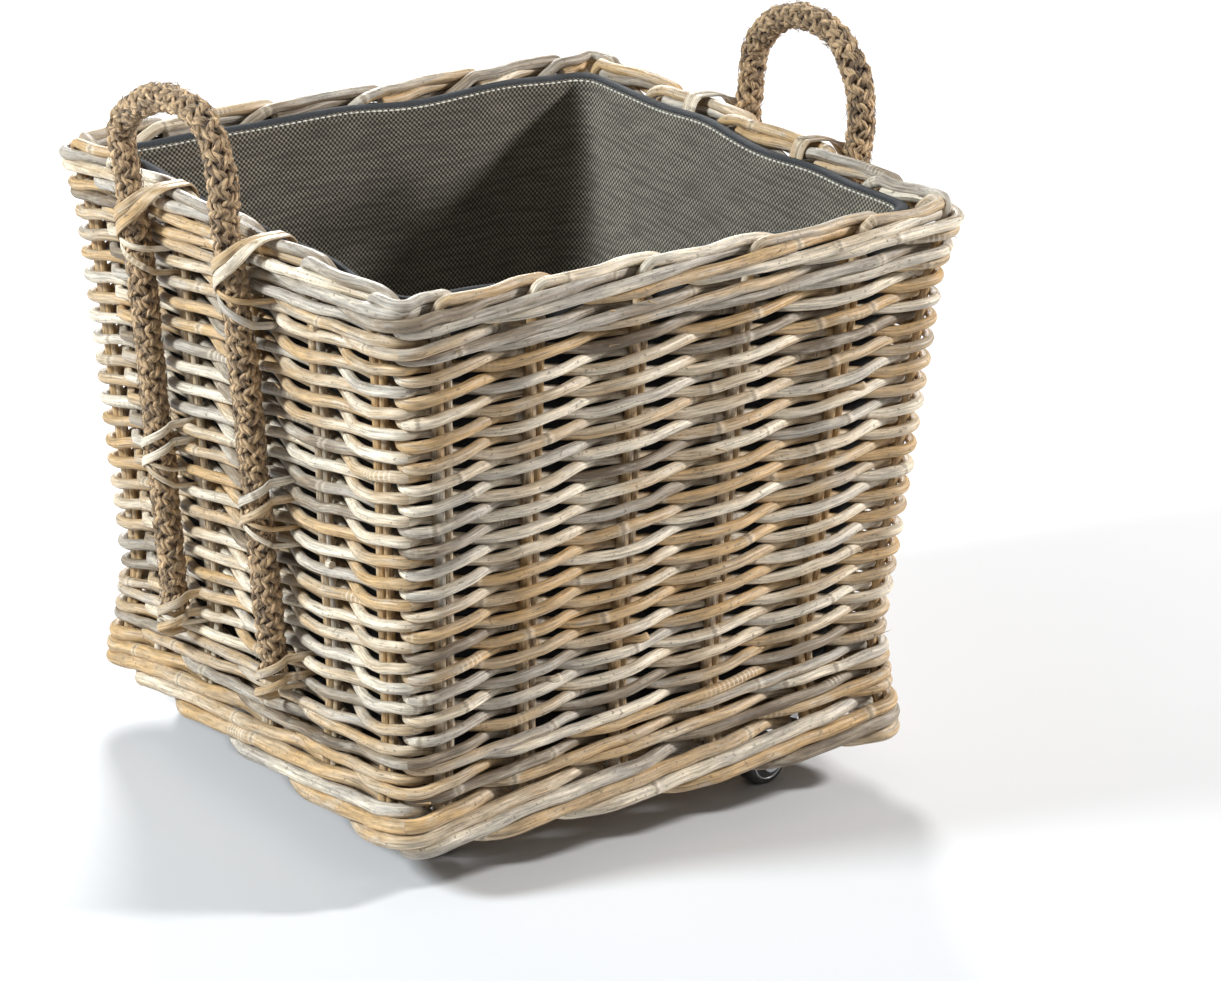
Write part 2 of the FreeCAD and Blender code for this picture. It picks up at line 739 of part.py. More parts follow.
def castor_wheel():
    """Wheel with a rounded tread and a hub that stands proud on both sides."""
    tread = axle_cylinder(WHEEL_RADIUS, 0.5 * WHEEL_WIDTH)
    rims = [edge for edge in tread.Edges if edge.isClosed()]
    tread = tread.makeFillet(TREAD_ROUNDING, rims)
    hub = axle_cylinder(HUB_RADIUS, 0.5 * WHEEL_WIDTH + HUB_PROUD)
    return tread.fuse(hub).cut(axle_cylinder(AXLE_RADIUS + RUNNING)).removeSplitter()


def castor_screw(x, y):
    """Round-headed screw through a castor plate into the board."""
    under = PLATE_BOTTOM
    shank = Part.makeCylinder(SCREW_RADIUS, PLATE_THICKNESS + SCREW_BITE, Vector(x, y, under))
    start = Vector(x, y, under - SCREW_HEAD_HEIGHT)
    head = Part.makeCylinder(SCREW_HEAD_RADIUS, SCREW_HEAD_HEIGHT, start)
    return shank.fuse(head).removeSplitter()


def castors():
    """Four swivel castors, each turned its own way under the board."""
    pieces = (
        ("plate", castor_plate()),
        ("fork", castor_fork()),
        ("axle", castor_axle()),
        ("wheel", castor_wheel()),
    )
    for (place, x, y), turn in zip(castor_centres(), CASTOR_TURNS):
        for kind, solid in pieces:
            copy = solid.copy()
            if kind != "plate":
                copy.rotate(Vector(0, 0, 0), Vector(0, 0, 1), turn)
            copy.translate(Vector(x, y, 0))
            NODES[place + "_castor_" + kind] = [copy]
    NODES["castor_screws"] = [castor_screw(x, y) for x, y in screw_centres()]


siding()
foot_border()
wales()
rim_border()
stakes()
base_board()
liner()
handles()
castors()

for name, solids in NODES.items():
    shape = solids[0] if len(solids) == 1 else Part.makeCompound(solids)
    shape.exportStep("parts/" + name + ".step")
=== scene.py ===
import json
import math

import bpy
import numpy as np
from mathutils import Matrix, Vector


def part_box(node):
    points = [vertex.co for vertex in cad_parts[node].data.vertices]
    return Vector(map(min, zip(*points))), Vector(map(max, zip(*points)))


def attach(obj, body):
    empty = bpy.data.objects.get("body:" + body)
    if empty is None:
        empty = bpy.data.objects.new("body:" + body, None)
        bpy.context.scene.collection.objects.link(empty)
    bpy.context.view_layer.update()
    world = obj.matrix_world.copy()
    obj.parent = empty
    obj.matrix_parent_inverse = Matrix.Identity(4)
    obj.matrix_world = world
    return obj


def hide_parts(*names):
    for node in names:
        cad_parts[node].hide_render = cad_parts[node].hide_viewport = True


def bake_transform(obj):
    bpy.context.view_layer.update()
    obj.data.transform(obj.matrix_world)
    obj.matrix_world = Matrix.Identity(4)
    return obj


bl_info = {
    "name": "Rattan Log Basket",
    "version": (1, 0, 0),
    "blender": (4, 5, 0),
    "location": "3D View > Sidebar > Basket",
    "description": "Weaves a rattan log basket with a cloth liner and rope handles round its frame",
    "category": "Object",
}

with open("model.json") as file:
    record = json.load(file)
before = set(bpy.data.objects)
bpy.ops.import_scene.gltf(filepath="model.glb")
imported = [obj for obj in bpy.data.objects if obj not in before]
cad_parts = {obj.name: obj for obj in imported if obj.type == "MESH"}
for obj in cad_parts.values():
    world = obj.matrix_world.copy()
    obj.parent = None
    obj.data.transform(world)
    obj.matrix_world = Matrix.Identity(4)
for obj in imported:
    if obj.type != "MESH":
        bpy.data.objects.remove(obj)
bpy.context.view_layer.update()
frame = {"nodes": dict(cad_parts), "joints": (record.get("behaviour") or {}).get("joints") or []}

WALLS = ("front", "right", "back", "left")
CASTORS = ("front_right", "back_right", "back_left", "front_left")

# Stake groups along a wall, as shares of the way from its middle to its corners. A wall spans two
# units of place, counted round the basket from the middle of the front one.
FRONT_GROUPS = (-0.8735, -0.536, -0.149, 0.256, 0.667)
FLANK_GROUPS = (-0.957, -0.7165, -0.363, 0.0736, 0.4957, 0.8735)
GROUP_COUNT = 2 * (len(FRONT_GROUPS) + len(FLANK_GROUPS))
ROUND = 8.0

# Share of a stake group's reach along which a rod lies flat against it.
FLAT_SHARE = 0.6
# How far a rod's rings of points crowd toward the corners, from 0 to 1.
CORNER_CROWD = 0.6
# Unevenness of the weave: a rod's line, the heights of a course and the heights of a row.
LINE_UNEVEN = 0.0003
COURSE_UNEVEN = 0.0006
ROW_UNEVEN = 0.0005
# A rod's grain starts anywhere along this length.
GRAIN_LENGTH = 40.0

# Split cane: distance between its rings of points, length over which its ends narrow, how far round
# a rope it turns, and its tails' distances out of the wall and slant along it.
CANE_STEP = 0.0016
CANE_TAPER = 0.012
WRAP_TURN = 1.9
TAIL_OUT = (-0.004, 0.009)
TAIL_SLANT = 0.001

# Runs along the wall of each rope's rear and fore legs, at the rim and at the lower end, by side.
LEG_RUNS = {
    -1.0: ((-0.0975, -0.0900), (0.0457, 0.0570)),
    1.0: ((-0.0858, -0.0858), (0.0569, 0.0569)),
}
# Control points of each loop: run along the wall and share of the way from the hinge to the top.
LOOP_POINTS = {
    -1.0: ((-0.1045, 0.495), (-0.0374, 1.07), (0.0326, 1.07), (0.0496, 0.413)),
    1.0: ((-0.0791, 0.504), (-0.0423, 0.985), (0.0204, 0.985), (0.0579, 0.483)),
}


def length(name, default, text):
    """A property for a length in metres."""
    return bpy.props.FloatProperty(
        name=name, description=text, default=default, min=0.0,
        precision=4, subtype="DISTANCE", unit="LENGTH",
    )


def factor(name, default, text):
    """A property for a plain factor."""
    return bpy.props.FloatProperty(name=name, description=text, default=default, min=0.5)


def colour(name, default, text):
    """A property for a linear colour."""
    return bpy.props.FloatVectorProperty(
        name=name, description=text, default=default, size=3, min=0.0, max=1.0, subtype="COLOR"
    )


class BasketShape(bpy.types.PropertyGroup):
    """Sizes of the woven walls."""

    foot_half: length("Foot", 0.2135, "Half the width of the stake line at the foot")
    waist_half: length("Waist", 0.206, "Half the width of the stake line under the siding")
    shoulder_half: length("Shoulder", 0.228, "Half the width of the stake line above the siding")
    rim_half: length("Rim", 0.238, "Half the width of the stake line at the rim")
    corner_radius: length("Corner radius", 0.0115, "Radius of the corners of the stake line")
    stake_radius: length("Stake radius", 0.0045, "Radius of the thick stakes")
    side_stake_radius: length("Side stake radius", 0.003, "Radius of the thin stakes")
    strand_radius: length("Strand radius", 0.0037, "Radius of the siding rods")
    wale_radius: length("Wale radius", 0.0037, "Radius of the wale rods")
    border_radius: length("Border radius", 0.0039, "Radius of the rim rods")
    foot_radius: length("Foot radius", 0.005, "Radius of the foot rods")
    strand_rise: length("Strand rise", 0.00447, "Rise of a siding rod between two stake groups")
    foot_step: length("Foot step", 0.01105, "Climb of a foot rod from one stake group to the next")
    foot_dip: length("Foot dip", 0.005, "Drop of a foot rod as it comes out from behind")
    wale_step: length("Wale step", 0.00825, "Climb of a wale rod from one stake group to the next")
    wale_dip: length("Wale dip", 0.0026, "Drop of a wale rod as it comes out from behind")
    clear: length("Clearance", 0.00035, "Clear space between neighbouring rods")
    reach: length("Reach", 0.0065, "Half the width of a stake group")
    swell: factor("Swell", 1.13, "Thickness of the woven rods against their spacing")
    rim_swell: factor("Rim swell", 1.15, "Thickness of the rim rods against their spacing")
    courses: bpy.props.IntProperty(name="Courses", description="Courses of siding", default=18, min=1)
    step: length("Step", 0.0035, "Distance between the rings of points along a rod")
    seed: bpy.props.IntProperty(name="Seed", description="Seed of the weave's unevenness", default=5)


class BasketSoft(bpy.types.PropertyGroup):
    """Sizes of the ropes, the lashings and the liner."""

    rope_radius: length("Rope radius", 0.011, "Radius of the rope handles")
    rope_out: length("Rope place", 0.0248, "Distance from the stake line to the middle of a rope")
    loop_lean: length("Loop lean", 0.0066, "How far the loop's top leans outward")
    rope_step: length("Rope step", 0.0022, "Distance between the rings of points along a yarn")
    plait: length("Plait", 0.048, "Length of one turn of a strand round the rope")
    yarn_turn: length("Yarn turn", 0.019, "Length of one turn of a yarn round its strand")
    cane_thickness: length("Cane thickness", 0.0020, "Thickness of the split cane")
    cloth_thickness: length("Cloth", 0.0016, "Thickness of the liner's cloth")
    hem: length("Hem", 0.028, "Depth of the liner's hem")
    thread: length("Thread", 0.0021, "Distance between the threads of the liner's cloth")


class BasketColours(bpy.types.PropertyGroup):
    """Colours of the finishes, linear."""

    rattan_dark: colour("Dark rattan", (0.13, 0.09, 0.055), "Weathered dark rods")
    rattan_grey: colour("Grey rattan", (0.30, 0.232, 0.160), "Weathered grey rods")
    rattan_ash: colour("Ash rattan", (0.46, 0.408, 0.34), "Bleached grey rods")
    rattan_beige: colour("Beige rattan", (0.52, 0.385, 0.24), "Beige rods")
    rattan_pale: colour("Pale rattan", (0.80, 0.69, 0.53), "Pale rods and frayed fibres")
    rattan_tan: colour("Tan rattan", (0.56, 0.36, 0.165), "Warm rods")
    bleached: colour("Bleached", (0.60, 0.53, 0.43), "Sun-bleached patches of the rods")
    ring: colour("Node ring", (0.12, 0.08, 0.045), "Rings at the nodes of the rods")
    pith_light: colour("Light pith", (0.62, 0.52, 0.39), "Pith of a cut rod")
    pith_dark: colour("Dark pith", (0.34, 0.25, 0.16), "Pores of a cut rod")
    # The rope colours carry painted light and shade: the light one on the outer yarns, the dark one as
    # shade deep in the rope and on its core.
    rope_light: colour("Light rope", (0.64, 0.425, 0.225), "Outer fibres of the ropes")
    rope_dark: colour("Dark rope", (0.062, 0.032, 0.013), "Fibres deep in the ropes")
    # The liner's threads: the raised ones in the cloth's own colour, the sunk ones in painted shade.
    cloth_light: colour("Light thread", (0.30, 0.262, 0.198), "Raised threads of the liner")
    cloth_dark: colour("Dark thread", (0.020, 0.016, 0.012), "Sunk threads of the liner")
    # The hem colour also covers the liner's outer side, where it is painted shade in the gaps of the weave.
    hem: colour("Hem", (0.012, 0.0135, 0.0155), "Folded edge of the liner")
    sewing_light: colour("Light sewing thread", (0.80, 0.76, 0.66), "Outside of the stitches")
    sewing_dark: colour("Dark sewing thread", (0.50, 0.47, 0.40), "Twist of the stitches")
    steel_light: colour("Light steel", (0.68, 0.69, 0.70), "Bright zinc plating")
    steel_dark: colour("Dark steel", (0.36, 0.37, 0.38), "Dull zinc plating")
    plastic_light: colour("Dusty plastic", (0.06, 0.057, 0.052), "Dust on the wheels")
    plastic_dark: colour("Plastic", (0.012, 0.012, 0.013), "Wheels")
    wood_light: colour("Light wood", (0.44, 0.31, 0.185), "Early wood of the base board")
    wood_dark: colour("Dark wood", (0.24, 0.155, 0.085), "Late wood of the base board")
    floor: colour("Floor", (0.66, 0.66, 0.665), "Studio floor")


def shape():
    return bpy.context.scene.basket_shape


def soft():
    return bpy.context.scene.basket_soft


def colours():
    return bpy.context.scene.basket_colours


# Heights of the bands, from the frame.
FOOT_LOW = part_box("front_foot_border")[0].z
WALE_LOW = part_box("front_lower_wale")[0].z
WALE_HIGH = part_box("front_lower_wale")[1].z
SIDING_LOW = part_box("front_siding")[0].z
SIDING_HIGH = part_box("front_siding")[1].z
UPPER_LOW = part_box("front_upper_wale")[0].z
UPPER_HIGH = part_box("front_upper_wale")[1].z
RIM_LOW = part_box("front_rim_border")[0].z
RIM_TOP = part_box("front_rim_border")[1].z
LEG_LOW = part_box("left_rope_legs")[0].z
LOOP_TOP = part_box("left_rope_loop")[1].z
LINER_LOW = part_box("liner")[0].z
LINER_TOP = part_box("liner")[1].z
HINGE = {j["child"]: j["pos_m"] for j in frame["joints"]}


def eased(knots, values, at):
    """Smooth curve through values at knots: cubic pieces with the monotone slopes that never
    overshoot a knot (zero where the values turn, otherwise the harmonic mean of both sides)."""
    values = np.asarray(values, float)
    if values.ndim == 1:
        return eased(knots, values[:, None], at)[:, 0]
    knots = np.asarray(knots, float)
    gap = np.diff(knots)[:, None]
    rate = np.diff(values, axis=0) / gap
    before, after = rate[:-1], rate[1:]
    same = before * after > 0.0
    total = np.where(same, before + after, 1.0)
    inner = np.where(same, 2.0 * before * after / total, 0.0)
    slope = np.vstack([rate[:1], inner, rate[-1:]])
    i = np.clip(np.searchsorted(knots, at, side="right") - 1, 0, len(knots) - 2)
    t = ((at - knots[i]) / gap[i, 0])[:, None]
    return (
        (1.0 + 2.0 * t) * (1.0 - t) ** 2 * values[i]
        + t * (1.0 - t) ** 2 * gap[i] * slope[i]
        + t * t * (3.0 - 2.0 * t) * values[i + 1]
        + t * t * (t - 1.0) * gap[i] * slope[i + 1]
    )


def distances(points):
    """How far each point lies along the line through all of them."""
    return np.concatenate([[0.0], np.cumsum(np.linalg.norm(np.diff(points, axis=0), axis=1))])


def on_line(at, far, line):
    """Points at distances along a line whose points lie at the distances far."""
    return np.stack([np.interp(at, far, line[:, axis]) for axis in range(3)], 1)


def unit(vectors):
    """Vectors, one in a row, brought to length one."""
    return vectors / np.linalg.norm(vectors, axis=1, keepdims=True)


def ripple(at, rng, size, low, high):
    """A sine of a size along a rod, with a rate between two limits and any phase."""
    return size * np.sin(at * rng.uniform(low, high) + rng.uniform(0.0, 6.0))


def wobble(place, rng, size, low, high):
    """Uneven wave round the basket: a sum of sines with whole numbers of waves in one round."""
    waves = np.arange(low, high)
    phase = rng.uniform(0.0, 2.0 * math.pi, len(waves))
    share = rng.normal(size=len(waves))
    angle = 2.0 * math.pi / ROUND * np.outer(place, waves) + phase
    return size * (np.sin(angle) @ share) / math.sqrt(len(waves))


def profile():
    """Heights at which the wall's slope changes and half the width of the stake line there."""
    s = shape()
    rise = s.strand_rise + s.strand_radius
    foot = FOOT_LOW + s.foot_dip + s.foot_radius
    heights = (foot, SIDING_LOW + rise, SIDING_HIGH - rise, RIM_TOP - s.border_radius)
    return heights, (s.foot_half, s.waist_half, s.shoulder_half, s.rim_half)


def half_width(z):
    """Half the width of the stake line at a height."""
    heights, halves = profile()
    return np.interp(z, heights, halves)


def half_run(z):
    """Length of the stake line from the middle of a wall to the middle of its corner."""
    return half_width(z) + shape().corner_radius * (0.25 * math.pi - 1.0)


def wall_points(place, out, z):
    """Points at places round the wall, distances out from the stake line and heights, with the
    wall's outward directions there. A wall is straight up to its corner arcs."""
    radius = shape().corner_radius
    side = np.floor(0.5 * (place + 1.0))
    run = (place - 2.0 * side) * half_run(z)
    straight = half_width(z) - radius
    turn = np.maximum(np.abs(run) - straight, 0.0) / radius * np.sign(run)
    along = np.clip(run, -straight, straight) + (radius + out) * np.sin(turn)
    outward = straight + (radius + out) * np.cos(turn)
    angle = 0.5 * math.pi * side
    x = along * np.cos(angle) + outward * np.sin(angle)
    y = along * np.sin(angle) - outward * np.cos(angle)
    facing = np.stack([np.sin(angle + turn), -np.cos(angle + turn), np.zeros_like(x)], 1)
    return np.stack([x, y, z], 1), facing


def group_places(turns=1):
    """Places of the stake groups round the basket, a round before and some rounds after."""
    first = []
    for side in range(4):
        shares = FRONT_GROUPS if side % 2 == 0 else FLANK_GROUPS
        first += [2.0 * side + share for share in shares]
    first = np.array(first)
    return np.concatenate([first + ROUND * turn for turn in range(-1, turns + 1)])


def new_mesh(name, points, faces, uvs, finishes, tones=None):
    """A mesh from whole arrays: points; the faces' corners, first corners, smoothness and finish
    numbers; a UV pair for each corner; the finishes; a tone for each point where there is one."""
    corners, starts, smooth, numbers = faces
    mesh = bpy.data.meshes.new(name)
    mesh.vertices.add(len(points))
    mesh.vertices.foreach_set("co", points.astype(np.float32).ravel())
    mesh.loops.add(len(corners))
    mesh.loops.foreach_set("vertex_index", corners.astype(np.int32))
    mesh.polygons.add(len(starts))
    mesh.polygons.foreach_set("loop_start", starts.astype(np.int32))
    mesh.polygons.foreach_set("use_smooth", smooth)
    mesh.uv_layers.new(name="UVMap")
    mesh.uv_layers[0].data.foreach_set("uv", uvs.astype(np.float32).ravel())
    if tones is not None:
        tone = mesh.attributes.new("tone", "FLOAT", "POINT")
        tone.data.foreach_set("value", tones.astype(np.float32))
    for material in finishes:
        mesh.materials.append(material)
    mesh.polygons.foreach_set("material_index", numbers.astype(np.int32))
    mesh.update(calc_edges=True)
    mesh.validate()
    return mesh


def placed(name, data):
    """A new object for a mesh, a lamp or a camera, in the scene, at the origin."""
    made = bpy.data.objects.new(name, data)
    bpy.context.scene.collection.objects.link(made)
    return made


def settle(piece, slot, *nodes, body="basket"):
    """A piece rides on a body and stands for nodes of the frame, which are hidden; the slot is not used."""
    if nodes:
        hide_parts(*nodes)
    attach(piece, body)
    return piece


class Bundle:
    """Tubes gathered into one mesh, with a UV map in metres along and turns round, and a tone."""

    def __init__(self):
        self.points = []
        self.quads = []
        self.caps = []
        self.uvs = []
        self.tones = []
        self.count = 0

    def tube(self, path, facing, radius, tone, sides=10, closed=False, flat=1.0, shift=0.0):
        """Carries a round or flattened section along a path: ring i is the path's point i plus
        radius times (cos a * facing + flat * sin a * sideways), with facing squared to the path."""
        path = np.asarray(path, float)
        count = len(path)
        if closed:
            tangent = unit(np.roll(path, -1, 0) - np.roll(path, 1, 0))
        else:
            tangent = unit(np.gradient(path, axis=0))
        facing = np.broadcast_to(facing, path.shape)
        front = unit(facing - tangent * np.sum(facing * tangent, 1, keepdims=True))
        sideways = np.cross(tangent, front)
        turn = math.pi + 2.0 * math.pi * np.arange(sides) / sides
        radius = np.broadcast_to(radius, count)[:, None, None]
        cosine, sine = np.cos(turn)[:, None], np.sin(turn)[:, None]
        section = cosine * front[:, None] + flat * sine * sideways[:, None]
        self.points.append((path[:, None] + radius * section).reshape(-1, 3))
        rows = count if closed else count - 1
        i, k = np.meshgrid(np.arange(rows), np.arange(sides), indexing="ij")
        i, k = i.ravel(), k.ravel()
        here, after = i * sides, (i + 1) % count * sides
        beside = (k + 1) % sides
        corners = np.stack([here + k, here + beside, after + beside, after + k], 1)
        self.quads.append(self.count + corners)
        along = shift + distances(np.vstack([path, path[:1]]) if closed else path)
        u = np.stack([along[i], along[i], along[i + 1], along[i + 1]], 1)
        v = np.stack([k, k + 1, k + 1, k], 1) / sides
        self.uvs.append(np.stack([u, v], 2).reshape(-1, 2))
        if not closed:
            first = np.arange(sides)
            self.caps.append(self.count + np.stack([first[::-1], (count - 1) * sides + first]))
        self.tones.append(np.repeat(np.broadcast_to(tone, count), sides))
        self.count += count * sides

    def piece(self, name, *finishes):
        """Makes the mesh object. The end faces take the last of the finishes."""
        quads = np.concatenate(self.quads)
        starts = [4 * np.arange(len(quads))]
        corners = [quads.ravel()]
        uvs = list(self.uvs)
        total = quads.size
        for caps in self.caps:
            starts.append(total + caps.shape[1] * np.arange(2))
            corners.append(caps.ravel())
            uvs.append(np.zeros((caps.size, 2)))
            total += caps.size
        starts = np.concatenate(starts)
        smooth = np.arange(len(starts)) < len(quads)
        faces = (np.concatenate(corners), starts, smooth, np.where(smooth, 0, len(finishes) - 1))
        points, tones = np.concatenate(self.points), np.concatenate(self.tones)
        return placed(name, new_mesh(name, points, faces, np.concatenate(uvs), finishes, tones))


class Finish:
    """A material whose nodes are added one after another."""

    def __init__(self, name):
        self.material = bpy.data.materials.new(name)
        self.material.use_nodes = True
        self.tree = self.material.node_tree
        self.shader = self.tree.nodes["Principled BSDF"]

    def node(self, kind, inputs=None, **settings):
        """Adds a node; an input is a value or another node's output."""
        made = self.tree.nodes.new("ShaderNode" + kind)
        for key, value in settings.items():
            setattr(made, key, value)
        self.fill(made, inputs or {})
        return made

    def fill(self, made, inputs):
        """Links or sets the inputs of a node."""
        for key, value in inputs.items():
            if isinstance(value, bpy.types.NodeSocket):
                self.tree.links.new(value, made.inputs[key])
            else:
                made.inputs[key].default_value = value

    def shade(self, **inputs):
        """Fills the shader's own sockets, with underscores for spaces."""
        self.fill(self.shader, {key.replace("_", " "): value for key, value in inputs.items()})

    def add(self, first, second):
        return self.node("Math", {0: first, 1: second}, operation="ADD").outputs[0]

    def times(self, first, second):
        return self.node("Math", {0: first, 1: second}, operation="MULTIPLY").outputs[0]

    def sine(self, value):
        return self.node("Math", {0: value}, operation="SINE").outputs[0]

    def parts(self, vector):
        """The three values of a vector."""
        return self.node("SeparateXYZ", {0: vector}).outputs

    def place(self):
        """Object coordinates."""
        return self.node("TexCoord").outputs["Object"]

    def tone(self):
        """The tone kept on the piece's points."""
        return self.node("Attribute", attribute_name="tone", attribute_type="GEOMETRY").outputs["Fac"]

    def along(self, along, around, third):
        """A pattern vector from the UV map: stretched along, round and by a third value."""
        uv = self.parts(self.node("UVMap", uv_map="UVMap").outputs["UV"])
        inputs = {0: self.times(uv[0], along), 1: self.times(uv[1], around), 2: third}
        return self.node("CombineXYZ", inputs).outputs[0]

    def spread(self, value, low, high, to_low=0.0, to_high=1.0):
        """A value taken from one range to another, held at the ends."""
        inputs = {"Value": value, "From Min": low, "From Max": high, "To Min": to_low, "To Max": to_high}
        return self.node("MapRange", inputs, interpolation_type="SMOOTHSTEP").outputs["Result"]

    def noise(self, vector, detail=2.0, scale=1.0, roughness=0.5):
        inputs = {"Vector": vector, "Scale": scale, "Detail": detail, "Roughness": roughness}
        return self.node("TexNoise", inputs).outputs["Fac"]

    def mixed(self, share, first, second, blend="MIX"):
        """Two colours mixed by a share, or blended."""
        made = self.node("Mix", data_type="RGBA", blend_type=blend)
        self.fill(made, {0: share, 6: rgba(first), 7: rgba(second)})
        return made.outputs[2]

    def ramp(self, value, *stops):
        """A colour for a value, from (place, colour) stops."""
        made = self.node("ValToRGB", {"Fac": value})
        elements = made.color_ramp.elements
        while len(elements) < len(stops):
            elements.new(0.5)
        for element, (place, tint) in zip(elements, stops):
            element.position = place
            element.color = rgba(tint)
        return made.outputs["Color"]

    def shaded(self, tint, value, *stops):
        """A colour times a grey for a value, from (place, grey) stops."""
        greys = self.ramp(value, *[(place, (grey, grey, grey)) for place, grey in stops])
        return self.mixed(1.0, tint, greys, "MULTIPLY")

    def bump(self, heights, distance, strength=1.0):
        inputs = {"Height": heights, "Distance": distance, "Strength": strength}
        self.shade(Normal=self.node("Bump", inputs).outputs["Normal"])


def rgba(tint):
    """A colour with its alpha, or the output that gives it."""
    if isinstance(tint, bpy.types.NodeSocket):
        return tint
    return (tint[0], tint[1], tint[2], 1.0)


def rattan(name="woven_rattan", gloss=0.40, paler=0.0):
    """Weathered rattan: a tone for each rod, stained and bleached patches, fine lines along the rod,
    specks, barred peel marks, and dark node rings with a pale lip."""
    c = colours()
    made = Finish(name)
    tone = made.tone()
    offset = made.times(tone, 53.0)
    patches = made.noise(made.along(11.0, 1.6, offset), 4.0, roughness=0.6)
    bleach = made.noise(made.along(30.0, 2.6, made.add(offset, 7.0)), 3.0, roughness=0.65)
    streaks = made.noise(made.along(20.0, 17.0, offset), 5.0, roughness=0.7)
    fibres = made.noise(made.along(70.0, 15.0, made.add(offset, 3.0)), 3.0, roughness=0.7)
    specks = made.noise(made.along(300.0, 9.0, offset), 2.0)
    nodes = {"W": made.parts(made.along(3.6, 0.0, 0.0))[0], "Scale": 1.0}
    rings = made.node("TexVoronoi", nodes, voronoi_dimensions="1D").outputs["Distance"]
    rough = made.add(rings, made.spread(fibres, 0.3, 0.7, -0.0040, 0.0040))
    ring = made.spread(rough, 0.0020, 0.0090, 1.0, 0.0)
    lip = made.spread(rough, 0.0080, 0.0200, 0.35, 0.0)
    swell = made.spread(rings, 0.0, 0.022, 1.0, 0.0)
    level = made.add(made.times(tone, 0.90), made.spread(patches, 0.28, 0.72, -0.08, 0.18))
    tint = made.ramp(
        made.add(level, paler),
        (0.0, c.rattan_dark),
        (0.13, c.rattan_grey),
        (0.27, c.rattan_ash),
        (0.42, c.rattan_pale),
        (0.57, c.rattan_beige),
        (0.72, c.rattan_tan),
        (0.86, c.rattan_beige),
        (1.0, c.rattan_ash),
    )
    tint = made.mixed(made.spread(bleach, 0.54, 0.72, 0.0, 0.55), tint, c.bleached)
    tint = made.shaded(tint, streaks, (0.26, 0.30), (0.42, 0.72), (0.56, 1.03), (0.78, 1.42))
    tint = made.shaded(tint, fibres, (0.30, 0.62), (0.50, 1.0), (0.70, 1.22))
    tint = made.mixed(made.spread(specks, 0.62, 0.72, 0.0, 0.65), tint, c.rattan_dark)
    tint = made.mixed(lip, tint, c.rattan_pale)
    tint = made.mixed(made.times(ring, 0.55), tint, c.ring)
    bars = made.sine(made.parts(made.along(1500.0, 0.0, 0.0))[0])
    peeled = made.noise(made.along(16.0, 0.6, made.add(offset, 11.0)), 1.0)
    barred = made.times(made.spread(bars, 0.1, 0.9), made.spread(peeled, 0.66, 0.74, 0.0, 0.5))
    tint = made.mixed(barred, tint, c.rattan_pale)
    dull = made.spread(streaks, 0.3, 0.7, gloss + 0.18, gloss)
    made.shade(Base_Color=tint, Roughness=dull, Specular_IOR_Level=0.45)
    grain = made.add(made.times(streaks, 0.7), made.times(fibres, 0.4))
    made.bump(made.add(grain, swell), 0.0007, 0.9)
    return made.material


def cut_rattan():
    """The pale pith of a cut rod, with dark pores."""
    c = colours()
    made = Finish("cut_rattan")
    pores = made.node("TexVoronoi", {"Vector": made.place(), "Scale": 1400.0}).outputs["Distance"]
    tint = made.ramp(pores, (0.15, c.pith_dark), (0.4, c.pith_light))
    made.shade(Base_Color=tint, Roughness=0.85)
    return made.material


def jute():
    """Braided plant fibre: fine lines along each strand, which also carry painted glints, with painted
    shade where a strand dives under another and deep in the rope, and painted light on the yarns' outer
    sides.
    """
    c = colours()
    made = Finish("jute")
    # The tone on the rope's points is painted shade and light from the braid's relief.
    depth = made.tone()
    fibres = made.noise(made.along(90.0, 7.0, depth), 5.0, roughness=0.75)
    blots = made.noise(made.along(26.0, 3.0, 3.0), 3.0)
    middle = tuple(0.45 * light + 0.55 * dark for light, dark in zip(c.rope_light, c.rope_dark))
    level = made.add(depth, made.spread(blots, 0.3, 0.7, -0.22, 0.16))
    tint = made.ramp(level, (0.05, c.rope_dark), (0.5, middle), (0.95, c.rope_light))
    # Fibre lines: the fibres' own streaks, brightened to more than twice over as painted glints.
    tint = made.shaded(tint, fibres, (0.32, 0.22), (0.48, 0.80), (0.60, 1.25), (0.74, 2.3))
    made.shade(Base_Color=tint, Roughness=0.8, Sheen_Weight=0.2, Sheen_Roughness=0.5)
    made.bump(fibres, 0.0016)
    return made.material


def canvas():
    """Coarse plain weave: two sets of threads that pass over each other like a chequer board, with painted
    shade on the sunk threads and painted light and shade over the folds.
    """
    c = colours()
    made = Finish("canvas")
    rate = 2.0 * math.pi / soft().thread
    uv = made.parts(made.along(0.5 * rate, 0.5 * rate, 0.0))
    over = made.times(made.sine(uv[0]), made.sine(uv[1]))
    slubs = made.noise(made.along(30.0, 260.0, 0.0), 2.0)
    # Painted light and shade over the cloth's folds: a slow noise that darkens and lightens the cloth.
    fold_shade = made.noise(made.along(7.0, 5.0, 4.0), 2.0)
    # Painted shade: the sunk threads of the chequer take the dark colour; slubs vary the threads at random.
    raised = made.times(made.spread(over, -0.45, 0.55), made.spread(slubs, 0.3, 0.7, 0.55, 1.1))
    tint = made.mixed(raised, c.cloth_dark, c.cloth_light)
    tint = made.shaded(tint, fold_shade, (0.3, 0.8), (0.7, 1.15))
    made.shade(Base_Color=tint, Roughness=0.9, Sheen_Weight=0.15)
    made.bump(raised, 0.0007, 0.8)
    return made.material


